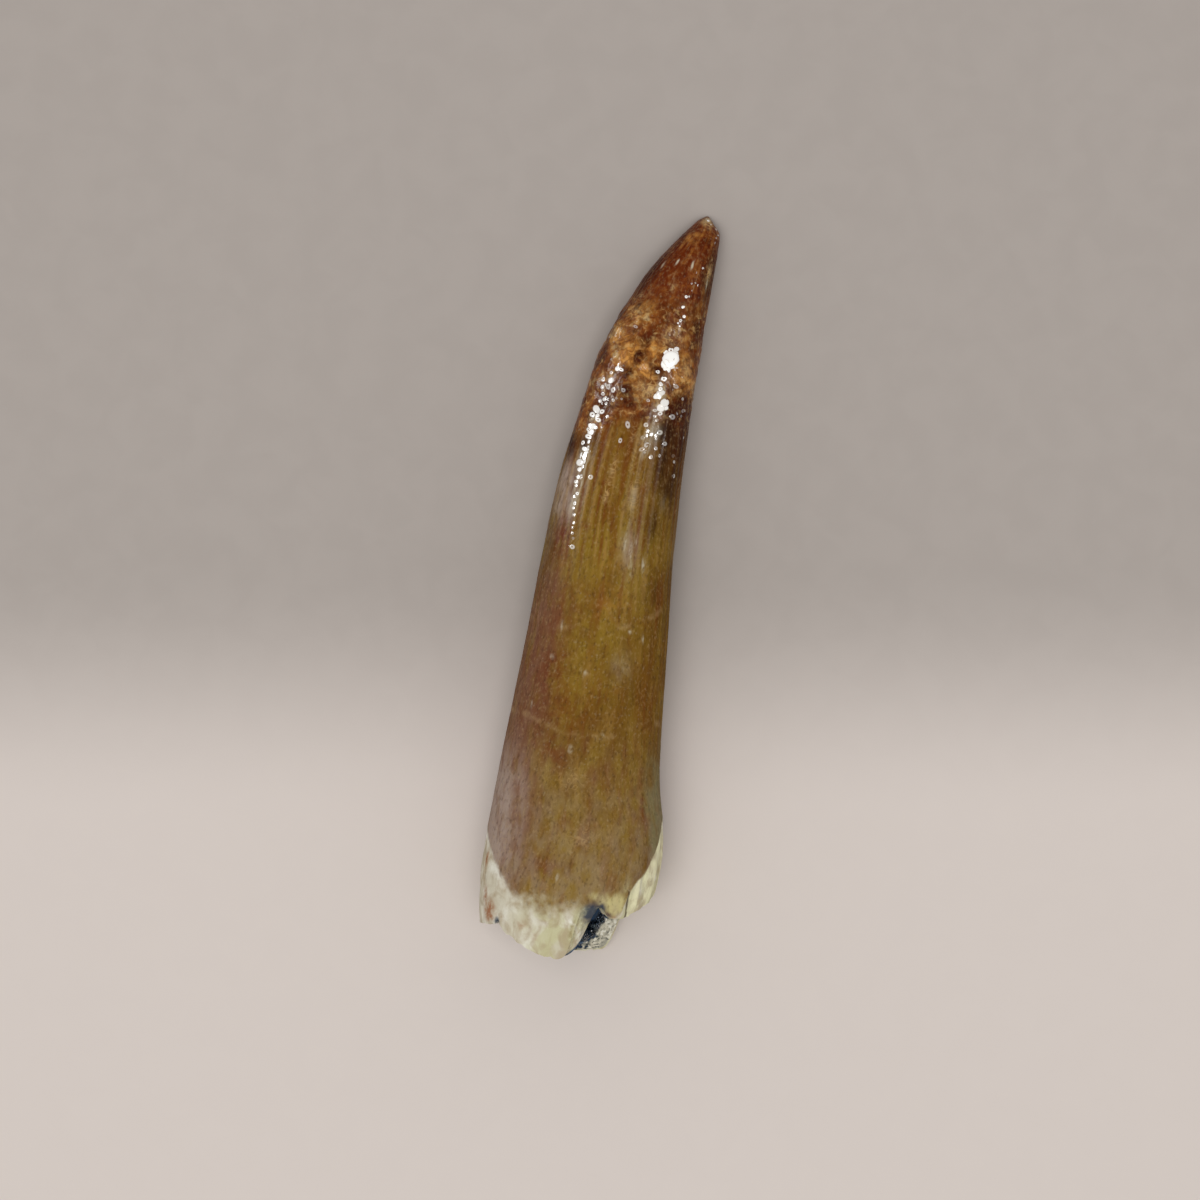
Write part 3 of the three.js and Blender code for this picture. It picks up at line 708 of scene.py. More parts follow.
# %% Stains and painted light
STAINS_AND_PAINTED_LIGHT = {  # mask: [along, degrees round, reach, how much longer than wide, strength]
    # dark brown stains, and painted shade along the crown's left and right edges, between the beads of
    # the left chain and in the pit by the star
    "dark_stain_and_edge_shade": [
        [32.2, 36, 1.5, 1.3, 0.9], [30, 30, 2.4, 2, 0.8], [26.6, 24, 1.8, 1.8, 0.4],
        [21.6, 44, 1.4, 1.3, 0.4], [28.7, 162, 1.1, 1.6, 0.7], [35.7, 166, 0.9, 1.6, 0.8],
        [34.9, 106, 0.6, 1.7, 0.6], [33.4, 108, 0.6, 1.6, 0.6], [32.1, 106, 1.1, 1.1, 0.5],
        [33.5, 78, 0.8, 0.8, 0.9], [35.3, 100, 0.5, 0.8, 0.4], [37, 133, 0.5, 0.8, 0.5],
        [32.2, 150, 1, 0.9, 0.6], [38.6, 155, 1.4, 1.8, 0.6], [36.6, 44, 0.8, 2.2, 0.5],
        [34.8, 41, 0.6, 0.7, 0.4], [20, 24, 1.4, 2.2, 0.3], [15.6, 56, 0.5, 4, 0.25],
        [23, 165, 2.2, 2.4, 0.4], [41.4, 62, 0.6, 0.8, 0.5], [30.8, 14, 1.6, 2, 0.8],
        [27.4, 165, 1, 2, 0.4], [28.8, 46, 1.6, 2.4, 0.8], [27.6, 36, 2, 1.8, 0.7],
        [25.2, 50, 1.2, 1.8, 0.6], [30.6, 140, 0.5, 1.6, 0.7], [28.9, 139, 0.6, 1.6, 0.8],
        [29.4, 126, 0.3, 2.6, 0.6], [32.3, 122, 0.5, 1.6, 0.5], [33.2, 137, 0.5, 1.6, 0.4],
        [28.6, 122, 0.3, 3, 0.4], [31.7, 92, 0.5, 1.4, 0.4], [31.2, 128, 1, 1, 0.4],
        [34, 160, 0.8, 1.6, 0.7], [33, 20, 1.2, 1.4, 0.4], [40.2, 150, 1, 2, 0.4],
        [32.8, 62, 0.5, 1.2, 0.5], [39.3, 24, 1.6, 2.2, 0.75], [36.2, 30, 1.2, 1.8, 0.7],
        [29, 166, 0.9, 1.3, 0.9], [28.3, 156, 0.6, 1.2, 0.8], [30.2, 52, 1.3, 1.6, 0.95],
        [31.6, 88, 0.7, 0.8, 0.45], [33.6, 79, 0.6, 0.8, 1], [31.9, 118, 0.6, 1, 0.5],
        [31.2, 40, 2.2, 1.2, 0.8], [28.6, 30, 2.2, 1.4, 0.7], [22, 14, 1.2, 2.6, 0.4],
    ],
    "ember": [
        [32.3, 112, 1, 1, 0.7], [32.9, 99, 0.6, 1, 0.5], [30.6, 118, 0.6, 3, 0.6],
        [27, 106, 0.4, 4, 0.5], [29.2, 96, 0.35, 4, 0.5], [25.4, 96, 0.5, 4, 0.4],
        [13.6, 118, 1.8, 2, 0.35], [18, 132, 1.6, 2, 0.35], [8.6, 52, 0.8, 3, 0.35],
        [39.1, 129, 2.2, 1.6, 0.9], [37.6, 100, 1, 1.8, 0.6], [24.4, 114, 0.6, 3, 0.5],
        [23.9, 140, 1.2, 2.2, 0.7], [35.9, 104, 0.8, 1.6, 0.6], [16.2, 123, 2, 1.4, 0.5],
        [14.1, 108, 1.6, 1.8, 0.45], [11.8, 113, 1.6, 1.2, 0.5], [10.1, 40, 0.6, 5, 0.6],
        [5.4, 107, 2, 0.8, 0.5], [25, 62, 0.8, 2.4, 0.3], [20, 112, 1.8, 2, 0.35],
        [40.8, 70, 0.9, 1, 0.5], [29, 110, 0.7, 3, 0.4], [34, 105, 0.55, 2.4, 1],
        [31.6, 103, 0.8, 0.8, 0.9],
    ],
    "flame": [
        [30.2, 150, 1.8, 1.4, 0.8], [33, 156, 1.6, 1.4, 0.9], [31.8, 158, 1.5, 1.3, 0.8],
        [33.6, 148, 1.5, 1, 0.8], [35.4, 158, 0.9, 1.4, 0.6], [35.8, 116, 0.8, 1, 0.6],
        [35.2, 104, 0.7, 1.2, 0.5],
    ],
    "gold": [
        [36.7, 130, 1.1, 0.7, 0.8], [35.1, 134, 1.2, 0.7, 1.1], [34.3, 116, 1.3, 0.9, 1.1],
        [34.8, 88, 1.1, 0.8, 1.1], [33.4, 94, 1.3, 0.9, 1.1], [34.1, 45, 1.1, 1.1, 1],
        [33.2, 32, 1.3, 1, 1], [41.4, 113, 0.8, 0.7, 0.6], [37.1, 112, 0.6, 1.6, 0.4],
        [20.3, 84, 2.4, 0.9, 0.25], [17.6, 56, 1.4, 1.6, 0.15], [22.6, 86, 2, 1.4, 0.2],
        [12.9, 76, 2, 0.6, 0.15],
    ],
    # beige stains in the healed band, at the tip and on the body, and thin pale streaks high on the body
    # that are painted sheen
    "beige_stain_and_sheen": [
        [36.6, 132, 1, 0.7, 0.35], [37.5, 140, 0.6, 0.9, 0.4], [34, 42, 0.9, 1, 0.45],
        [35.6, 72, 1, 1, 0.7], [32.6, 82, 0.9, 0.9, 0.8], [42.4, 74, 0.5, 0.8, 0.9],
        [31.5, 116, 0.8, 1.1, 0.4], [27.8, 100, 0.28, 4, 0.5], [26.5, 101, 0.25, 4, 0.6],
        [29.8, 88, 0.24, 5, 0.35], [28.6, 82, 0.22, 5, 0.35], [26.6, 76, 0.4, 3.4, 0.5],
        [31, 95, 0.3, 3, 0.3], [38.3, 96, 0.3, 2, 0.5], [39.6, 34, 0.35, 3, 0.6],
        [10.4, 96, 1.4, 0.7, 0.25], [7.4, 86, 1.2, 0.7, 0.3],
    ],
    # painted glints and milky painted reflections of the lamps on the crown and the tip, and pale specks
    # lower down
    "glint_and_speck": [
        [26.4, 130, 0.7, 2.6, 0.6], [32.4, 131, 0.6, 1.5, 0.4], [32.8, 68, 0.8, 1.3, 0.7],
        [31.5, 68, 0.8, 1, 0.6], [30.2, 68, 0.5, 1.6, 0.4], [29.4, 74, 0.7, 1.6, 0.5],
        [30, 134, 0.6, 2.6, 0.6], [28, 134, 0.7, 2, 0.7], [27.8, 129, 0.3, 3, 0.5],
        [34.6, 137, 0.3, 2, 0.3], [22.4, 70, 0.4, 2.6, 0.4], [22.9, 57, 0.2, 3.6, 0.6],
        [23.9, 77, 0.13, 6, 0.7], [23.4, 71, 0.14, 6, 0.8], [24.2, 67, 0.11, 5, 0.7],
        [25.2, 77, 0.25, 4, 0.3], [26.4, 40, 0.7, 1.2, 0.25], [17.1, 67, 1.3, 1.3, 0.2],
        [39.6, 135, 0.12, 2.6, 0.9], [39.9, 110, 0.1, 3, 0.9], [39.9, 78, 0.13, 3, 1],
        [39, 33, 0.14, 4, 0.6], [42.6, 60, 0.3, 0.6, 1], [31.2, 70, 0.6, 2, 0.4],
        [16.9, 127, 0.3, 1, 0.5], [16.4, 97, 0.3, 1, 0.5], [18.7, 122, 0.2, 2, 0.5],
        [19.2, 64, 0.18, 1, 0.8], [18.9, 50, 0.18, 2, 0.7], [14.1, 138, 0.25, 1, 0.5],
        [12.1, 99, 0.3, 1, 0.6], [13.2, 76, 0.3, 0.7, 0.4], [3.8, 104, 0.3, 1, 0.5],
        [5, 97, 0.2, 2.4, 0.5], [5.7, 105, 0.2, 2, 0.4],
    ],
    "rust": [
        [2.4, 151, 0.9, 1, 1.1], [3.2, 158, 0.4, 2, 0.8], [2, 118, 0.6, 0.8, 0.5],
        [1.5, 106, 0.4, 1, 0.4], [5.2, 161, 0.35, 2.4, 0.8], [5, 45, 0.2, 3, 0.8],
        [3.7, 56, 0.3, 0.5, 0.9], [3.5, 53, 0.3, 0.7, 0.9],
    ],
    # painted shade: dark red in the pits and crevices of the healed band, along the crown's edges and in
    # the wedge by the notch
    "painted_crevice_shade": [
        [33.65, 78.5, 0.55, 0.8, 1], [34.3, 104, 0.4, 2.6, 1], [33.2, 109, 0.4, 1.6, 1],
        [32.2, 106, 0.7, 0.8, 0.9], [31.6, 102, 0.9, 0.6, 0.9], [35.3, 98, 0.4, 1.2, 0.5],
        [33.1, 123, 0.4, 1.2, 0.7], [31.5, 123, 0.9, 0.9, 0.7], [37, 133, 0.4, 0.8, 0.9],
        [35.6, 120, 0.5, 0.6, 0.6], [32.2, 34, 1.3, 0.8, 0.9], [31.9, 20, 1.2, 1, 0.9],
        [31.6, 46, 1, 0.9, 0.9], [34.6, 44, 0.4, 0.8, 0.6], [36, 100, 0.4, 1.6, 0.4],
        [32.8, 57, 0.5, 0.9, 0.7], [30.4, 30, 1.4, 2, 0.6], [28.6, 160, 0.7, 1.4, 0.7],
        [34.6, 160, 0.7, 1.6, 0.6], [41.2, 150, 0.7, 2, 0.6], [39.4, 160, 0.9, 2.4, 0.7],
        [33.9, 87, 0.3, 0.8, 0.7], [30.3, 139, 0.4, 3, 0.5], [3.5, 57, 0.4, 0.6, 1],
        [29, 126, 0.3, 3, 0.4],
    ],
    # painted sheen: soft milky reflections of the lamps on the varnish, beside the bead chains
    "painted_varnish_sheen": [
        [23.6, 73, 0.9, 2, 0.6], [26.4, 76, 0.5, 2.4, 0.5], [30.2, 67, 0.8, 1.5, 0.7],
        [31.4, 68, 0.8, 1, 0.6], [25.2, 133, 0.7, 2.2, 0.6], [17.1, 67, 1.4, 1.3, 0.3],
        [35.4, 71, 0.8, 0.8, 0.4],
    ],
    "straw": [
        [4.1, 53, 1.1, 0.9, 1.2], [4.2, 62, 0.9, 0.7, 1.1], [5.3, 48, 0.5, 1.8, 0.6],
        [4.4, 70, 0.6, 0.6, 0.7],
    ],
    # ochre spots, and a line of painted shadow where the near wall meets its bevel
    "ochre_and_shadow": [[2.3, 81, 0.25, 4.5, 0.9], [2, 124, 0.3, 1, 0.4], [3, 97, 0.3, 1, 0.4]],
    # painted shade: navy where the notch opens into the dark hollow, and in the small slot on the left
    "painted_notch_shade": [
        [3.45, 68, 0.95, 0.9, 1.3], [3.85, 63.5, 0.4, 1, 1], [2.3, 71, 0.25, 2, 0.5],
        [1.95, 141, 0.32, 0.9, 1.3],
    ],
}
print({mask: len(spots) for mask, spots in STAINS_AND_PAINTED_LIGHT.items()})

# %% [markdown]
# The masks are painted from the height and angle that each vertex remembers. Three of them are
# distances, not blobs: how far a place is above the enamel's edge, from the two faint growth arcs
# that cross the body, and from the crack by the notch. The shader makes lines of them, finer than
# the mesh is.

# %% Paint the masks
ARCS = [  # faint pale arcs, as [degrees, along]
    [[42, 14.4], [67, 13.3], [80, 13.0], [107, 13.0], [150, 13.6]],
    [[30, 20.6], [54, 19.7], [91, 18.9], [121, 18.6], [150, 18.8]],
]

skin = fossil_tooth.data.attributes
grown = np.zeros(3 * len(skin["growth"].data))
skin["growth"].data.foreach_get("vector", grown)
rightward, upward, along = grown.reshape(-1, 3).T
degrees = np.degrees(np.arctan2(upward, rightward)) % 360
plain = on_section(along, degrees)
zones = np.zeros(len(along))
skin["zone"].data.foreach_get("value", zones)


def paint(mask, values):
    """Stores one number for each vertex, for the material to read by name."""
    layer = skin.new(mask, "FLOAT", "POINT")
    layer.data.foreach_set("value", np.asarray(values, np.float32))


for mask, spots in STAINS_AND_PAINTED_LIGHT.items():
    strongest = np.zeros(len(along))
    for at, around_at, reach, squash, strength in spots:
        here = strength * spot(along, degrees, at, around_at, reach, squash)
        strongest = np.maximum(strongest, here)
    paint(mask, strongest)

# the streaks between the ridges wander more than the ridges do
wandering = soft_noise(rolled(degrees, along / 6), 2.2) + soft_noise(rolled(degrees, along / 6), 1.0)
paint("ridge", ridge_wave(along, degrees, 2.4 * wandering))
streaky = np.clip(0.5 + 1.7 * soft_noise(rolled(degrees, along / 9), 0.8), 0, 1.2)
paint("streaks", streaky * (1 - 0.5 * ease(np.abs(turned(degrees, 97)), 25, 50)))
paint("mended", healed_band(along, degrees))
# painted light and shade: the lumps' height, which the colour uses to make tops gold and pits red
paint("painted_lump_light", lumps(along, degrees) / 0.2)
paint("gloss", np.where(zones < 0, 1.0, 0.4 * varnish(along)))

# distances, in millimetres; the enamel's edge is a wider fade on top of the tooth
on_top = spot(0 * degrees, degrees, 0, 103, 2.6)
paint("edge", (along - enamel_edge(degrees)) / (0.22 + 1.1 * on_top))
paint("crack", off_line(along, degrees, CRACK_BY_NOTCH))
lower_gap, upper_gap = (along - np.interp(degrees, *np.array(arc).T) for arc in ARCS)
paint("arc", np.where(along < 16, lower_gap, upper_gap))

# wide zones: a painted sheen and rose on the left, a painted grey-green reflection on the right
# painted sheen: the left lamp's soft reflection on the satin skin, mauve-grey, and a patch of it high on
# the left
painted_sheen = ease(-rightward, 0.35, 1.0) * (1 - 0.75 * ease(along, 8, 13)) * (1 - ease(along, 24, 28))
painted_sheen_patch = spot(along, degrees, 26.2, 150, 1.9, 1.4)
paint("painted_sheen", np.maximum(painted_sheen, painted_sheen_patch))
paint("rosy", ease(-rightward, 0.2, 0.8) * ease(along, 3, 6) * (1 - ease(along, 19, 24)))
# painted reflection: a grey-green stripe down the right side of the lower body
patchy = soft_noise(plain, 1.8, 3)
fringe = ease(upward + 0.5 * patchy, -0.7, 0.1) * (1 - ease(along + 3 * patchy, 9, 16.5))
paint("painted_green_reflection", ease(rightward + 0.12 * patchy, 0.74, 0.94) * ease(along, 4.5, 6.5) * fringe)
print("masks:", [a.name for a in skin if a.data_type == "FLOAT"])

# %% [markdown]
# ## Shader helpers
#
# Materials are trees of nodes. These helpers keep the recipe readable: each adds one node, gives
# its inputs a number, a colour or another node's output, and hands back its output. The last two
# end a recipe: one feeds a socket of the shader, the other gives it a bump.

# %% Node helpers


def add(tree, kind, inputs=None, **settings):
    """A new node, in rows of twelve, with its inputs set or linked."""
    node = tree.nodes.new(kind)
    node.location = (220 * (len(tree.nodes) % 12), -260 * (len(tree.nodes) // 12))
    for name, value in settings.items():
        setattr(node, name, value)
    for name, value in (inputs or {}).items():
        if isinstance(value, bpy.types.NodeSocket):
            tree.links.new(value, node.inputs[name])
        else:
            node.inputs[name].default_value = value
    return node


def chip(red, green, blue):
    """A colour as on a paint chip, each channel 0 to 255, in the linear values shaders use."""
    return tuple(((c / 255 + 0.055) / 1.055) ** 2.4 for c in (red, green, blue)) + (1.0,)


def blend(tree, share, below, above):
    mixed = add(tree, "ShaderNodeMix", {0: share, 6: below, 7: above}, data_type="RGBA")
    return mixed.outputs[2]


def number(tree, operation, first, second=0.5, third=0.5):
    numbers = {0: first, 1: second, 2: third}
    return add(tree, "ShaderNodeMath", numbers, operation=operation).outputs[0]


def times(tree, first, second):
    return number(tree, "MULTIPLY", first, second)


def plus(tree, first, second):
    return number(tree, "ADD", first, second)


def eased(tree, value, low, high, to_low=0.0, to_high=1.0):
    """A smooth step from to_low, where value is low, to to_high, where it is high."""
    limits = {"Value": value, "From Min": low, "From Max": high, "To Min": to_low, "To Max": to_high}
    return add(tree, "ShaderNodeMapRange", limits, interpolation_type="SMOOTHSTEP").outputs["Result"]


def stretched(tree, vector, by, operation="MULTIPLY"):
    return add(tree, "ShaderNodeVectorMath", {0: vector, 1: by}, operation=operation).outputs[0]


def mottle(tree, where, size, detail=2.0, distortion=0.0, shift=0.0):
    """Soft noise around 0.5, with blotches of that size in the units of where."""
    if shift:
        where = stretched(tree, where, (shift,) * 3, "ADD")
    inputs = {"Vector": where, "Scale": 1 / size, "Detail": detail, "Distortion": distortion}
    return add(tree, "ShaderNodeTexNoise", inputs).outputs["Fac"]


def painted(tree, mask, output="Fac"):
    return add(tree, "ShaderNodeAttribute", attribute_name=mask).outputs[output]


def millimetres(tree):
    place = add(tree, "ShaderNodeTexCoord").outputs["Object"]
    return stretched(tree, place, (1 / MM,) * 3)


def new_material(name, **constants):
    """A material with its tree and shader, and some of the shader's sockets set."""
    material = bpy.data.materials.new(name)
    material.use_nodes = True
    shader = material.node_tree.nodes["Principled BSDF"]
    for socket, value in constants.items():
        shader.inputs[socket.replace("_", " ").title().replace("Ior", "IOR")].default_value = value
    return material, material.node_tree, shader


def feed(shader, socket, value):
    shader.id_data.links.new(value, shader.inputs[socket])


def add_bump(tree, shader, height, strength, depth):
    """Bump on the shader's surface. Depth is how many millimetres a height of 1 is worth."""
    settings = {"Height": height, "Strength": strength, "Distance": depth * MM}
    feed(shader, "Normal", add(tree, "ShaderNodeBump", settings).outputs[0])


# %% [markdown]
# The same grain turns up everywhere: in the enamel, in the dentine, as clouds in the crystals and
# as the tooth of the paper floor. So it is one node group with three outputs: soft mottling,
# small pale specks, and a height for a bump.

# %% Mineral grain


def make_mineral_grain():
    group = bpy.data.node_groups.new("mineral_grain", "ShaderNodeTree")
    group.interface.new_socket("Place", in_out="INPUT", socket_type="NodeSocketVector")
    group.interface.new_socket("Size", in_out="INPUT", socket_type="NodeSocketFloat")
    for name in ("Mottle", "Specks", "Height"):
        group.interface.new_socket(name, in_out="OUTPUT", socket_type="NodeSocketFloat")
    given = add(group, "NodeGroupInput").outputs
    factor = {0: given["Place"], "Scale": number(group, "DIVIDE", 1.0, given["Size"])}
    scaled = add(group, "ShaderNodeVectorMath", factor, operation="SCALE").outputs[0]
    soft = mottle(group, scaled, 4.0, 3, 0.4)
    fine = mottle(group, scaled, 1.0, 2)
    dots = add(group, "ShaderNodeTexVoronoi", {"Vector": scaled, "Scale": 0.45}).outputs
    near = eased(group, dots["Distance"], 0.30, 0.12)
    chosen = add(group, "ShaderNodeSeparateColor", {0: dots["Color"]}).outputs[0]
    specks = times(group, near, eased(group, chosen, 0.62, 0.80))
    made = add(group, "NodeGroupOutput").inputs
    group.links.new(eased(group, soft, 0.32, 0.68), made["Mottle"])
    group.links.new(specks, made["Specks"])
    group.links.new(number(group, "MULTIPLY_ADD", specks, 0.4, fine), made["Height"])
    return group


MINERAL_GRAIN = make_mineral_grain()


def grain(tree, where, size):
    inputs = {"Place": where, "Size": size}
    return add(tree, "ShaderNodeGroup", inputs, node_tree=MINERAL_GRAIN).outputs


print("the grain gives", [socket.name for socket in MINERAL_GRAIN.interface.items_tree])

# %% [markdown]
# ## The floor
#
# A sheet of warm grey paper. It shows no highlight, only the tooth's soft shadow. Its colour is
# painted darker towards the top: a painted fall-off of light, as on a backdrop that curves away
# from the lamps.

# %% Floor
FLOOR_SIDE = 3.0  # metres
FLOOR_DROP = 0.03 * MM  # the paper lies this far under the tooth
FALL_OFF = (-13, 1)  # mm up the sheet, where the painted fall-off of light runs
LIT_PAPER = chip(216, 208, 203)
SHADED_PAPER = chip(174, 167, 162)
PAPER_FIBRE = chip(235, 228, 222)

floor_bm = bmesh.new()
bmesh.ops.create_grid(floor_bm, x_segments=2, y_segments=2, size=FLOOR_SIDE / 2)
bmesh.ops.translate(floor_bm, verts=floor_bm.verts, vec=(0, 0, -FLOOR_DROP))
floor = as_object("floor", floor_bm)

paper, tree, shader = new_material("paper", roughness=0.9, specular_ior_level=0.0)
place = millimetres(tree)
upwards = {0: place, 1: (-math.sin(LEAN), math.cos(LEAN), 0)}
up_the_sheet = add(tree, "ShaderNodeVectorMath", upwards, operation="DOT_PRODUCT").outputs["Value"]
# painted fall-off of light: the paper is darker towards the top
tone = blend(tree, eased(tree, up_the_sheet, *FALL_OFF), LIT_PAPER, SHADED_PAPER)
fibre = grain(tree, place, 0.5)
feed(shader, "Base Color", blend(tree, times(tree, fibre["Mottle"], 0.03), tone, PAPER_FIBRE))
add_bump(tree, shader, fibre["Height"], 0.1, 0.02)
floor.data.materials.append(paper)
print("the floor is", FLOOR_SIDE, "m wide")

# %% [markdown]
# ## Colours of the tooth
#
# The shades are many, and most come from iron and manganese in the sediment: olive and gold
# in the thin enamel, umber and red-brown where it is stained deeper, ember and flame in the tip
# and the healed band, cream in the bare dentine, slate in the hollow. Others are painted light: a
# mauve painted sheen, a grey-green painted reflection, the white of painted glints and highlights,
# and a crevice red and a navy for painted shade at the notch and in the crust of the hollow.

# %% Pigments
OLIVE = chip(114, 82, 20)
GOLD_OLIVE = chip(134, 106, 34)
TAN = chip(156, 120, 62)
UMBER = chip(96, 60, 18)
RED_BROWN = chip(112, 60, 18)
SIENNA = chip(142, 82, 32)
DEEP_RED = chip(76, 26, 6)
DARK_BROWN = chip(54, 27, 8)
CREVICE_SHADE = chip(64, 22, 5)
OCHRE = chip(178, 124, 58)
GOLD = chip(214, 150, 72)
PALE_GOLD = chip(220, 180, 116)
BEIGE = chip(186, 158, 112)
STRAW = chip(208, 198, 138)
EMBER = chip(104, 40, 8)
FLAME = chip(166, 64, 22)
ROSY = chip(114, 70, 48)
SHEEN_MAUVE = chip(174, 157, 147)
WORN = chip(160, 146, 130)
REFLECTION_GREEN = chip(128, 122, 84)
SPECK_AND_GLINT_WHITE = chip(214, 208, 184)
HIGHLIGHT_WHITE = chip(255, 255, 252)
CREAM = chip(206, 201, 181)
PALE_CREAM = chip(230, 229, 216)
GREEN_CREAM = chip(194, 191, 150)
YELLOW_CREAM = chip(246, 244, 204)
BLOTCH = chip(170, 152, 122)
OCHRE_AND_SHADOW = chip(150, 134, 92)
RUST = chip(154, 100, 62)
NAVY_SHADE = chip(38, 54, 76)
SLATE = chip(68, 92, 120)
HOLLOW_BROWN = chip(78, 82, 88)
HOLLOW_GREEN = chip(84, 90, 84)
CRUST_GREY = chip(156, 154, 140)
SMOKE = chip(120, 134, 152)
BLACK = (0, 0, 0, 1)
print("the olive ground in linear values:", [round(channel, 3) for channel in OLIVE[:3]])

# %% [markdown]
# A stain's mask is a soft round spot, and no real stain is. So each is multiplied by cloudy
# noise before it is used, which leaves holes in it and a border that fades away unevenly.

# %% Stains, painted light and clouds


def unrolled(tree, growth, share):
    """Places on the skin, in millimetres, with the heights shrunk to a share of themselves."""
    return stretched(tree, growth, (GIRTH, GIRTH, share))


def clouds(tree, growth, size, longer, low, high, most=1.0, shift=0.0, detail=3.0):
    """Soft patches about size mm across and drawn out lengthwise, as a mask up to most."""
    drawn = unrolled(tree, growth, 1 / longer)
    return eased(tree, mottle(tree, drawn, size, detail, 0.6, shift), low, high, 0.0, most)


def lay_stain_and_painted_light(tree, colour, mask, pigment, where, size, most=1.0, shift=0.0, least=0.25):
    """Lays a pigment over a colour where a painted mask, broken up by noise, says so."""
    broken = eased(tree, mottle(tree, where, size, 5, 0.4, shift), 0.32, 0.62, least, 1.1)
    share = times(tree, painted(tree, mask), broken)
    return blend(tree, eased(tree, share, 0.04, 0.96, 0.0, most), colour, pigment)


def creases(tree, where, size, width, most, shift):
    """Thin wormy lines, which run where soft noise passes its middle."""
    off_middle = number(tree, "SUBTRACT", mottle(tree, where, size, 1, 1.2, shift), 0.5)
    return eased(tree, number(tree, "ABSOLUTE", off_middle), width, 0.0, 0.0, most)


# %% [markdown]
# The enamel's own colour is laid in thin glazes, as a painter would: an even olive ground, gold
# and red-brown clouds drawn out along the tooth, then the streaks between the ridges, which only
# the thin enamel of the upper half shows. The clouds are looked up in the tooth's own rounds and
# height, so they follow its curve.

# %% Enamel of the body


def body_enamel(tree, growth, height):
    colour = blend(tree, clouds(tree, growth, 2.6, 2.2, 0.36, 0.64), OLIVE, GOLD_OLIVE)
    colour = blend(tree, clouds(tree, growth, 1.9, 3, 0.50, 0.72, 0.6, 5), colour, RED_BROWN)
    colour = blend(tree, clouds(tree, growth, 0.9, 5, 0.50, 0.74, 0.4, 9), colour, UMBER)
    colour = blend(tree, clouds(tree, growth, 0.7, 1.6, 0.46, 0.74, 0.5, 27, 5), colour, UMBER)
    colour = blend(tree, eased(tree, height, 24, 29.5, 0.0, 0.4), colour, RED_BROWN)
    thin = eased(tree, height, 17.0, 27.0, 0.1, 1.1)
    wave = times(tree, painted(tree, "ridge"), times(tree, painted(tree, "streaks"), thin))
    jitter = mottle(tree, unrolled(tree, growth, 0.2), 0.55, 3, 0.3, 13)
    wave = number(tree, "MULTIPLY_ADD", number(tree, "SUBTRACT", jitter, 0.5), 3.4, wave)
    colour = blend(tree, eased(tree, wave, 0.15, -1.1, 0, 0.75), colour, RED_BROWN)
    return blend(tree, eased(tree, wave, 0.1, 1.3, 0, 0.7), colour, TAN)


# %% [markdown]
# The tip and the healed band are burnt sienna, mottled like leather. Two sizes of noise are
# added, so that large patches have small ones in them, and the sum goes through a ramp of four or
# five browns. In the healed band the height of the modelled lumps pushes the ramp towards gold on
# their tops and towards red in the pits: painted light and shade.

# %% Enamel of the tip and of the healed band


def ramp(tree, value, stops):
    """Colours against a number, given as [number, colour] stops."""
    made = add(tree, "ShaderNodeValToRGB", {0: value})
    elements = made.color_ramp.elements
    elements[0].position, elements[0].color = stops[0]
    elements[1].position, elements[1].color = stops[-1]
    for position, colour in stops[1:-1]:
        elements.new(position).color = colour
    return made.outputs[0]


def tip_enamel(tree, growth, place):
    tone = clouds(tree, growth, 0.9, 2.2, 0.22, 0.78, 0.6, 17, 5)
    leathery = eased(tree, mottle(tree, place, 0.36, 5, 0.8, 19), 0.3, 0.7, 0.0, 0.42)
    browns = [[0, DEEP_RED], [0.4, EMBER], [0.75, SIENNA], [1, OCHRE]]
    threads = clouds(tree, growth, 0.3, 5, 0.58, 0.78, 0.5, 21)
    return blend(tree, threads, ramp(tree, plus(tree, tone, leathery), browns), BEIGE)


def healed_enamel(tree, place):
    large = mottle(tree, place, 1.3, 2, 0.6, 3)
    small = mottle(tree, place, 0.4, 3, 0.5, 8)
    tone = number(tree, "MULTIPLY_ADD", large, 0.66, times(tree, small, 0.34))
    # painted light and shade from the lumps' height
    tone = number(tree, "MULTIPLY_ADD", painted(tree, "painted_lump_light"), 0.1, tone)
    browns = [[0, DEEP_RED], [0.3, RED_BROWN], [0.6, SIENNA], [0.9, OCHRE], [1, BEIGE]]
    return ramp(tree, eased(tree, tone, 0.30, 0.70), browns)


# %% [markdown]
# Bare dentine is grey cream, with tan blotches, thin lengthwise stains in its grain, ochre spots
# and a line of painted shadow by the bevel, rust where iron sat in a hollow of the break, and a
# greenish yellow tint by the notch. The far wall, seen through the notch, carries a sugary crust:
# small cells of all tones from navy, partly painted shade, to cream.

# %% Dentine, the broken rim and the hollow
SUGAR_GRAIN = 0.16  # mm


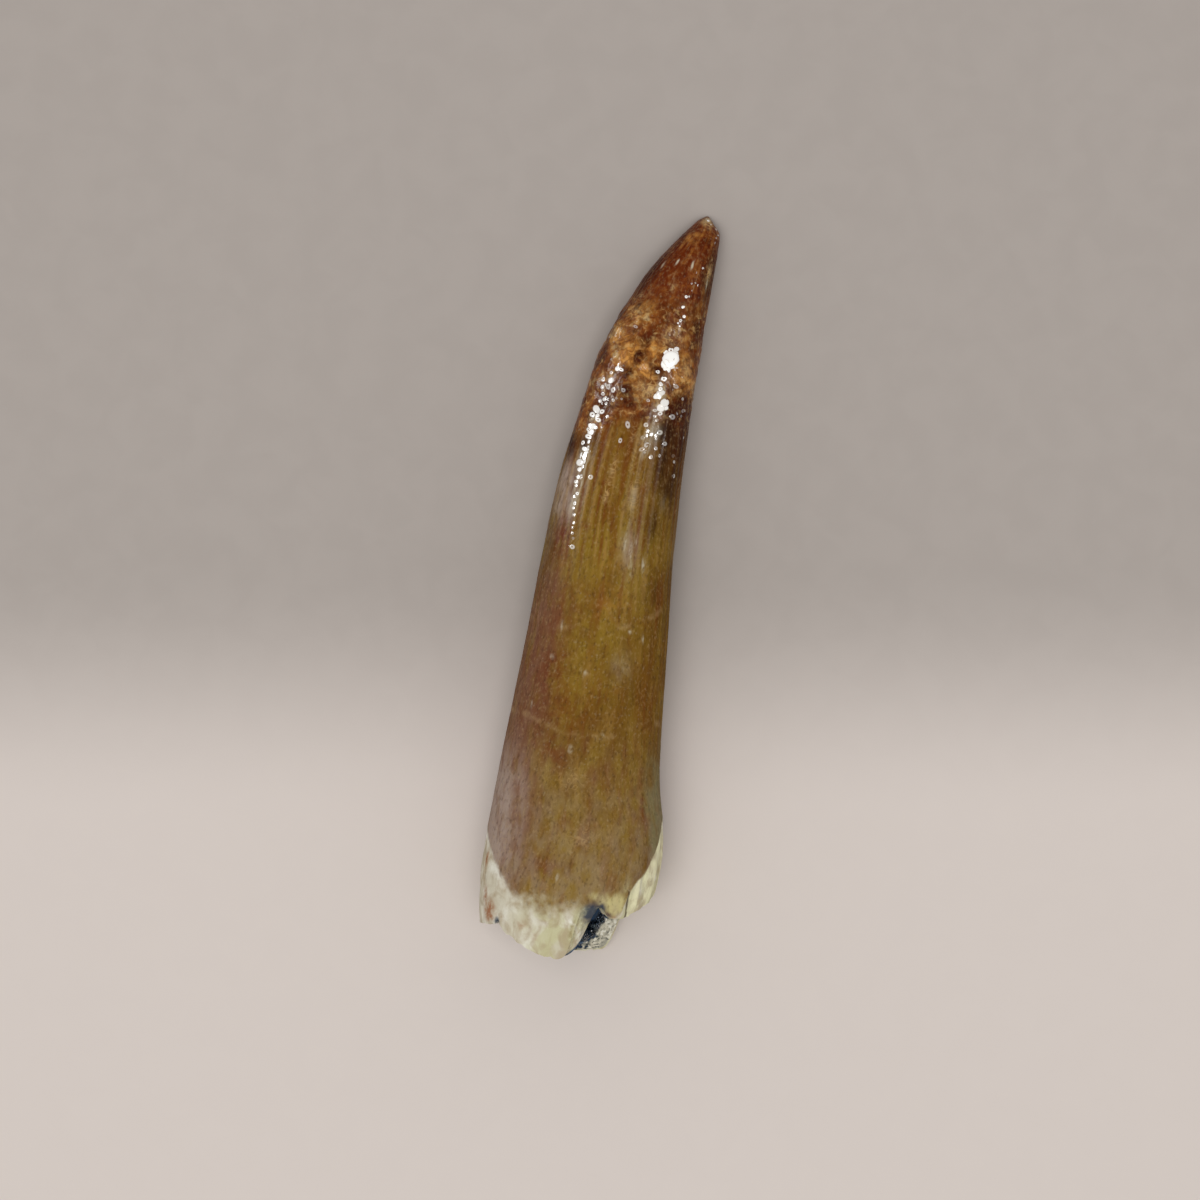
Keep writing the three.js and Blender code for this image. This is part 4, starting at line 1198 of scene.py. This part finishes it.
def dentine(tree, growth, rightward, place):
    colour = blend(tree, clouds(tree, growth, 1.4, 1.2, 0.40, 0.66), CREAM, PALE_CREAM)
    green = clouds(tree, growth, 0.8, 1.5, 0.3, 0.6, 0.9, 2)
    green = times(tree, eased(tree, rightward, -0.7, -0.1), green)
    colour = blend(tree, green, colour, GREEN_CREAM)
    sunny = clouds(tree, growth, 0.5, 4, 0.3, 0.6, 0.9, 14)
    sunny = times(tree, eased(tree, rightward, 0.6, 0.85), sunny)
    colour = blend(tree, sunny, colour, YELLOW_CREAM)
    colour = blend(tree, clouds(tree, growth, 0.7, 1.2, 0.40, 0.70, 0.7, 4, 6), colour, BLOTCH)
    threads = clouds(tree, growth, 0.22, 6, 0.56, 0.80, 0.35, 11)
    colour = blend(tree, threads, colour, BLOTCH)
    # ochre spots and a painted shadow line at the bevel's edge
    colour = lay_stain_and_painted_light(tree, colour, "ochre_and_shadow", OCHRE_AND_SHADOW, place, 0.3, 0.8, 0, 0.4)
    return lay_stain_and_painted_light(tree, colour, "rust", RUST, place, 0.3, 0.9, 0, 0.5)


def sugary(tree, place, lightness):
    cells = add(tree, "ShaderNodeTexVoronoi", {"Vector": place, "Scale": 1 / SUGAR_GRAIN}).outputs
    tone = add(tree, "ShaderNodeSeparateColor", {0: cells["Color"]}).outputs[0]
    tone = number(tree, "MULTIPLY_ADD", tone, 0.36, mottle(tree, place, 0.4, 5, 0, 9))
    # the navy cells are partly painted shade
    greys = [[0.3, NAVY_SHADE], [0.42, HOLLOW_GREEN], [0.55, CRUST_GREY], [0.78, CREAM], [1, PALE_CREAM]]
    return ramp(tree, plus(tree, tone, lightness), greys)


def broken_rim(tree, colour, place):
    grains = mottle(tree, stretched(tree, place, (1, 0.5, 1)), 0.14, 4, 0.2, 7)
    colour = blend(tree, eased(tree, grains, 0.46, 0.72, 0, 0.6), colour, BLOTCH)
    return blend(tree, eased(tree, grains, 0.46, 0.25, 0, 0.6), colour, PALE_CREAM)


def hollow(tree, place):
    stripes = mottle(tree, stretched(tree, place, (2.2, 0.25, 2.2)), 1.0, 3)
    colour = blend(tree, eased(tree, stripes, 0.4, 0.62), SLATE, HOLLOW_BROWN)
    patches = eased(tree, mottle(tree, place, 0.5, 3, 0, 5), 0.55, 0.75, 0, 0.4)
    return blend(tree, patches, colour, HOLLOW_GREEN)


# %% [markdown]
# Now the layers go over each other. First come the three kinds of enamel: the body, the tip and
# the healed band, with borders frayed by noise. On them lie the listed stains, from the red and
# brown ones deep in the enamel, and the painted light: painted shade on the crown's edges, a mauve
# painted sheen and a grey-green painted reflection low on the body, and a milky painted sheen and
# painted glints on the varnish.

# %% Tooth colour: enamel, stains and painted light
PAINTED_GLOW = 0.13  # painted glow: the beads' painted highlights give off a little light
fossil_enamel, tree, shader = new_material(
    "fossil_enamel", ior=1.5, specular_ior_level=0.06, coat_roughness=0.1, emission_strength=PAINTED_GLOW
)
place = millimetres(tree)
growth = painted(tree, "growth", "Vector")
rounds = add(tree, "ShaderNodeSeparateXYZ", {0: growth}).outputs
rightward, upward, height = rounds["X"], rounds["Y"], rounds["Z"]
streaked = unrolled(tree, growth, 0.45)

colour = body_enamel(tree, growth, height)
colour = blend(tree, eased(tree, height, 35.8, 38.4), colour, tip_enamel(tree, growth, place))
mended = plus(tree, mottle(tree, place, 1.2, 4), painted(tree, "mended"))
mended = eased(tree, mended, 0.55, 1.25)
colour = blend(tree, mended, colour, healed_enamel(tree, place))
for overlay in (  # mask, pigment, where its noise is looked up, size, most, shift, least
    ("rosy", ROSY, streaked, 0.6, 0.8, 1, 0.5),
    ("ember", EMBER, place, 0.6, 1.0, 2, 0.35),
    ("flame", FLAME, place, 0.6, 1.0, 11, 0.45),
    # dark brown stains, and painted shade on the crown's edges
    ("dark_stain_and_edge_shade", DARK_BROWN, streaked, 0.6, 1.0, 3, 0.75),
    ("gold", GOLD, place, 0.6, 0.9, 4, 0.25),
    # beige stains, and streaks of painted sheen
    ("beige_stain_and_sheen", BEIGE, place, 0.6, 0.9, 5, 0.2),
    ("straw", STRAW, place, 0.6, 0.95, 5, 0.6),
    # painted sheen of the left lamp, mauve-grey
    ("painted_sheen", SHEEN_MAUVE, streaked, 0.6, 0.75, 6, 0.5),
    # painted grey-green reflection on the right
    ("painted_green_reflection", REFLECTION_GREEN, streaked, 0.6, 0.8, 7, 0.5),
    # painted sheen on the varnish
    ("painted_varnish_sheen", SPECK_AND_GLINT_WHITE, streaked, 0.6, 0.32, 10, 0.6),
    # painted glints and reflections, and pale specks
    ("glint_and_speck", SPECK_AND_GLINT_WHITE, streaked, 0.3, 0.9, 8, 0.15),
):
    colour = lay_stain_and_painted_light(tree, colour, *overlay)
print("enamel and stains:", len(tree.nodes), "nodes")

# %% [markdown]
# What makes the tooth old is finer. In the healed band run dark and pale creases, with grit
# between them. Near the root the enamel is worn dull, and two pale growth arcs cross the body. A
# felt of dark and light specks lies over all of it.

# %% Tooth colour: creases, wear and specks
creased = times(tree, mended, creases(tree, place, 0.8, 0.13, 0.5, 14))
colour = blend(tree, creased, colour, DEEP_RED)
creased = times(tree, painted(tree, "beige_stain_and_sheen"), creases(tree, place, 0.5, 0.08, 0.8, 15))
colour = blend(tree, creased, colour, PALE_GOLD)
grit = mottle(tree, place, 0.34, 4, 0.6, 16)
for pigment, low, high in ((EMBER, 0.50, 0.36), (PALE_GOLD, 0.54, 0.70)):
    gritty = times(tree, mended, eased(tree, grit, low, high, 0.0, 0.45))
    colour = blend(tree, gritty, colour, pigment)
# painted shade in pits and crevices and along the edges
colour = lay_stain_and_painted_light(tree, colour, "painted_crevice_shade", CREVICE_SHADE, place, 0.3, 1.0, 9, 0.5)

worn = eased(tree, mottle(tree, streaked, 0.5, 6, 0.2, 3), 0.30, 0.70, 0.15, 1.0)
worn = times(tree, worn, eased(tree, height, 15, 4.5, 0.0, 0.34))
colour = blend(tree, worn, colour, WORN)
on_arc = eased(tree, number(tree, "ABSOLUTE", painted(tree, "arc")), 0.32, 0.0)
on_arc = times(tree, on_arc, eased(tree, mottle(tree, place, 0.9, 3, 0, 4), 0.42, 0.70, 0.0, 0.3))
colour = blend(tree, on_arc, colour, BEIGE)

dark_felt = mottle(tree, stretched(tree, place, (1, 0.5, 1)), 0.16, 4, 0, 6)
colour = blend(tree, eased(tree, dark_felt, 0.5, 0.75, 0, 0.42), colour, DARK_BROWN)
light_felt = mottle(tree, stretched(tree, place, (1, 0.6, 1)), 0.14, 4, 0, 2)
colour = blend(tree, eased(tree, light_felt, 0.48, 0.82, 0, 0.3), colour, BEIGE)
crumbs = grain(tree, place, 0.12)
colour = blend(tree, times(tree, crumbs["Specks"], 0.07), colour, SPECK_AND_GLINT_WHITE)
print("with wear and specks:", len(tree.nodes), "nodes")

# %% [markdown]
# The bare dentine starts at the enamel's ragged edge. On the far wall of the hollow the sugary
# crust is light low on the right, with a border that wanders, and dark elsewhere on the rim.

# %% Tooth colour: dentine, rim and hollow
zone_mask = painted(tree, "zone")
rim, inside = eased(tree, zone_mask, 0.3, 0.8), eased(tree, zone_mask, 1.3, 1.8)
frayed = number(tree, "MULTIPLY_ADD", mottle(tree, place, 0.6, 5), 2.4, painted(tree, "edge"))
bare = number(tree, "MAXIMUM", eased(tree, frayed, 1.9, 0.1), rim)
colour = blend(tree, bare, colour, dentine(tree, growth, rightward, place))
colour = blend(tree, rim, colour, broken_rim(tree, colour, place))
colour = blend(tree, inside, colour, hollow(tree, place))

border = number(tree, "MULTIPLY_ADD", mottle(tree, place, 0.5, 4, 0, 12), 0.3, rightward)
border = plus(tree, border, eased(tree, height, 2.8, 3.6, 0.0, -0.3))
border = plus(tree, border, eased(tree, height, 2.0, 1.4, 0.0, 0.12))
light_side = eased(tree, border, 0.62, 0.76)
lumpy = eased(tree, mottle(tree, place, 0.35, 2, 0.5, 21), 0.54, 0.64, 0.0, 0.4)
lightness = plus(tree, eased(tree, light_side, 0, 1, -0.42, 0.0), lumpy)
right_rim = times(tree, eased(tree, inside, 1, 0), eased(tree, rightward, 0.0, 0.2))
far_wall = times(tree, eased(tree, upward, -0.3, -0.6), rim)
crusted = times(tree, far_wall, number(tree, "MAXIMUM", light_side, right_rim))
colour = blend(tree, crusted, colour, sugary(tree, place, lightness))
print("with the broken end:", len(tree.nodes), "nodes")

# %% [markdown]
# Last come three marks: navy painted shade at the notch, a dark line along the crack beside it,
# and the painted white highlights of the beads, which glow a little and read the ring that each
# bead's vertices carry.

# %% Tooth colour: painted shade, crack and painted highlights
# painted shade, navy, at the notch and the slot
colour = lay_stain_and_painted_light(tree, colour, "painted_notch_shade", NAVY_SHADE, place, 0.3, 0.9, 0, 0.8)
# a dark line along the crack by the notch
on_crack = eased(tree, number(tree, "ABSOLUTE", painted(tree, "crack")), 0.11, 0.03, 0.0, 0.75)
on_crack = times(tree, on_crack, eased(tree, height, 5.15, 4.95))
colour = blend(tree, on_crack, colour, DARK_BROWN)
ring = painted(tree, "ring")
painted_white = times(tree, eased(tree, ring, 0.12, 0.4), eased(tree, ring, 1.0, 0.66))
painted_white = times(tree, painted(tree, "painted_highlight"), painted_white)
feed(shader, "Base Color", blend(tree, painted_white, colour, HIGHLIGHT_WHITE))
# painted glow of the painted highlights
feed(shader, "Emission Color", blend(tree, painted_white, BLACK, HIGHLIGHT_WHITE))
print("the whole colour has", len(tree.nodes), "nodes")

# %% [markdown]
# The skin itself is satin low down and smoother under the thin varnish. The beads are
# thick varnish: a clear coat lies over the same brown, so the lamps show in the beads and hardly
# in the skin between. Bare dentine and the hollow are dull. The bump is far finer than the mesh.

# %% Tooth gloss and bump
SATIN, VARNISHED = 0.66, 0.3  # roughness of the skin without varnish and under it
DULL = 0.15  # how much rougher bare dentine is
CROWN_COAT = 0.1
BUMP_DEPTH = 0.012  # mm

glossy = painted(tree, "gloss")
on_crown = eased(tree, height, 28, 33, 0.0, CROWN_COAT)
feed(shader, "Coat Weight", number(tree, "MAXIMUM", eased(tree, glossy, 0.5, 0.9), on_crown))
rough = eased(tree, glossy, 0.0, 0.5, SATIN, VARNISHED)
rough = number(tree, "MULTIPLY_ADD", number(tree, "MAXIMUM", bare, inside), DULL, rough)
feed(shader, "Roughness", number(tree, "MULTIPLY_ADD", crumbs["Mottle"], 0.04, rough))

uneven = number(tree, "MULTIPLY_ADD", mottle(tree, place, 0.4, 3), 1.5, crumbs["Height"])
uneven = times(tree, uneven, eased(tree, mended, 0, 1, 1.0, 2.4))
uneven = times(tree, uneven, eased(tree, bare, 0, 1, 1.0, 2.0))
uneven = times(tree, uneven, eased(tree, glossy, 0.8, 0.5))
add_bump(tree, shader, uneven, 1.0, BUMP_DEPTH)
fossil_tooth.data.materials.append(fossil_enamel)
print("the tooth's material has", len(tree.nodes), "nodes")

# %% [markdown]
# ## Crystals in the hollow
#
# Just inside the notch a crust of small clear crystals grew on the wall. Each is a six-sided
# prism with a pointed end: a bmesh cone that hardly narrows, whose top face is poked and raised.
# They stand on a thin slab bent on to the wall, and a boolean joins all of it into one closed
# skin, because glass with other glass inside it looks wrong.

# %% Crystals
CRUST_DEGREES = (280, 314)
CRUST_FROM_EDGE = (0.05, 1.2)  # mm in from the broken edge
CRUST_THICK, CRUST_OFF_WALL = 0.18, 0.04
CRYSTALS = 30
CRYSTAL_RADIUS = (0.10, 0.26)
CRYSTAL_HEIGHT = (0.06, 0.24)
CRYSTAL_TAPER = 0.9
CRYSTAL_ROOT = 0.12  # a crystal starts this far off the wall, inside the slab


def over_wall(from_edge, degrees, inward):
    """A point so far in from the broken edge and so far off the wall of the hollow."""
    edge = float(inner_break(np.array(degrees)))
    share = np.array([from_edge / (CAVITY_DEPTH - edge)])
    return on_cavity(share, np.array([degrees]), inward)[0]


crust_bm = bmesh.new()
bmesh.ops.create_cube(crust_bm, size=1)
long_edges = [e for e in crust_bm.edges if abs((e.verts[0].co - e.verts[1].co).x) > 0.5]
bmesh.ops.subdivide_edges(crust_bm, edges=long_edges, cuts=9, use_grid_fill=True)
for vertex in crust_bm.verts:
    across, up_it, through = vertex.co
    from_edge = between(CRUST_FROM_EDGE, 0.5 + up_it * (1 - abs(across)))
    off_wall = CRUST_THICK * (through + 0.5) + CRUST_OFF_WALL
    placed = over_wall(from_edge, between(CRUST_DEGREES, 0.5 + across), off_wall)
    vertex.co = in_frame(placed[None])[0]
bmesh.ops.recalc_face_normals(crust_bm, faces=crust_bm.faces)

crystal_bm = bmesh.new()
random.seed(11)
for i in range(CRYSTALS):
    radius = between(CRYSTAL_RADIUS, random.random())
    tall = between(CRYSTAL_HEIGHT, random.random())
    radii = {"radius1": radius, "radius2": CRYSTAL_TAPER * radius}
    prism = bmesh.ops.create_cone(crystal_bm, cap_ends=True, segments=6, depth=tall, **radii)["verts"]
    top = max({f for v in prism for f in v.link_faces}, key=lambda f: f.calc_center_median().z)
    poked = bmesh.ops.poke(crystal_bm, faces=[top])["verts"]
    poked[0].co.z += radius
    from_edge = between(CRUST_FROM_EDGE, 0.15 + 0.6 * random.random())
    around_it = between(CRUST_DEGREES, (i + 0.5) / CRYSTALS)
    foot = over_wall(from_edge, around_it, CRYSTAL_ROOT)
    aim = Vector(over_wall(from_edge, around_it, 1) - foot).normalized()
    aim += Vector((random.uniform(-0.5, 0.5), random.uniform(-0.9, 0.1), random.uniform(-0.5, 0.5)))
    stand = aim.to_track_quat("Z", "Y").to_matrix().to_4x4()
    spin = Matrix.Rotation(random.random(), 4, "Z")
    placing = Matrix.Translation(foot + to_frame) @ stand @ spin
    bmesh.ops.transform(crystal_bm, verts=[*prism, *poked], matrix=placing)
bmesh.ops.scale(crystal_bm, verts=crystal_bm.verts, vec=(MM, MM, MM))
bmesh.ops.recalc_face_normals(crystal_bm, faces=crystal_bm.faces)

hollow_crystals = as_object("hollow_crystals", crust_bm)
loose_crystals = as_object("loose_crystals", crystal_bm)
join = hollow_crystals.modifiers.new("join", "BOOLEAN")
join.operation, join.solver, join.use_self = "UNION", "EXACT", True
join.object = loose_crystals
evaluated = hollow_crystals.evaluated_get(bpy.context.evaluated_depsgraph_get())
joined = bpy.data.meshes.new_from_object(evaluated)
hollow_crystals.modifiers.clear()
hollow_crystals.data = joined
bpy.data.objects.remove(loose_crystals)
print("crystals:", len(joined.polygons), "faces")

# %% [markdown]
# Calcite and quartz are clear: nearly all of the light goes through and bends. The clouds in them
# come from roughness and a faint warm colour, and the smoky tone further in from a grey one, not
# from less transmission.

# %% Crystal material
SMOKY_FROM, SMOKY_TO = 1.7, 2.3  # mm up the tooth
WARM_CLEAR, WARM_CLOUD = chip(250, 246, 238), chip(230, 214, 202)

clear_crystal, tree, shader = new_material(
    "clear_crystal", transmission_weight=1.0, ior=1.55, metallic=0.0, specular_ior_level=0.5
)
place = millimetres(tree)
cloud = grain(tree, place, 0.12)
tint = blend(tree, cloud["Mottle"], WARM_CLEAR, WARM_CLOUD)
forward = add(tree, "ShaderNodeSeparateXYZ", {0: place}).outputs["Y"]
root_at = float(to_frame[1])
smoky = eased(tree, forward, root_at + SMOKY_FROM, root_at + SMOKY_TO)
feed(shader, "Base Color", blend(tree, smoky, tint, SMOKE))
feed(shader, "Roughness", eased(tree, cloud["Mottle"], 0, 1, 0.03, 0.22))
add_bump(tree, shader, cloud["Height"], 0.2, 0.01)
joined.materials.clear()
joined.materials.append(clear_crystal)
print("crystal material:", len(tree.nodes), "nodes")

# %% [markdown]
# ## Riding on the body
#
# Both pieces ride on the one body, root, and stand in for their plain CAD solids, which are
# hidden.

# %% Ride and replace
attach(fossil_tooth, "root")
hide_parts("tooth")
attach(hollow_crystals, "root")
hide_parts("pulp_crystals")
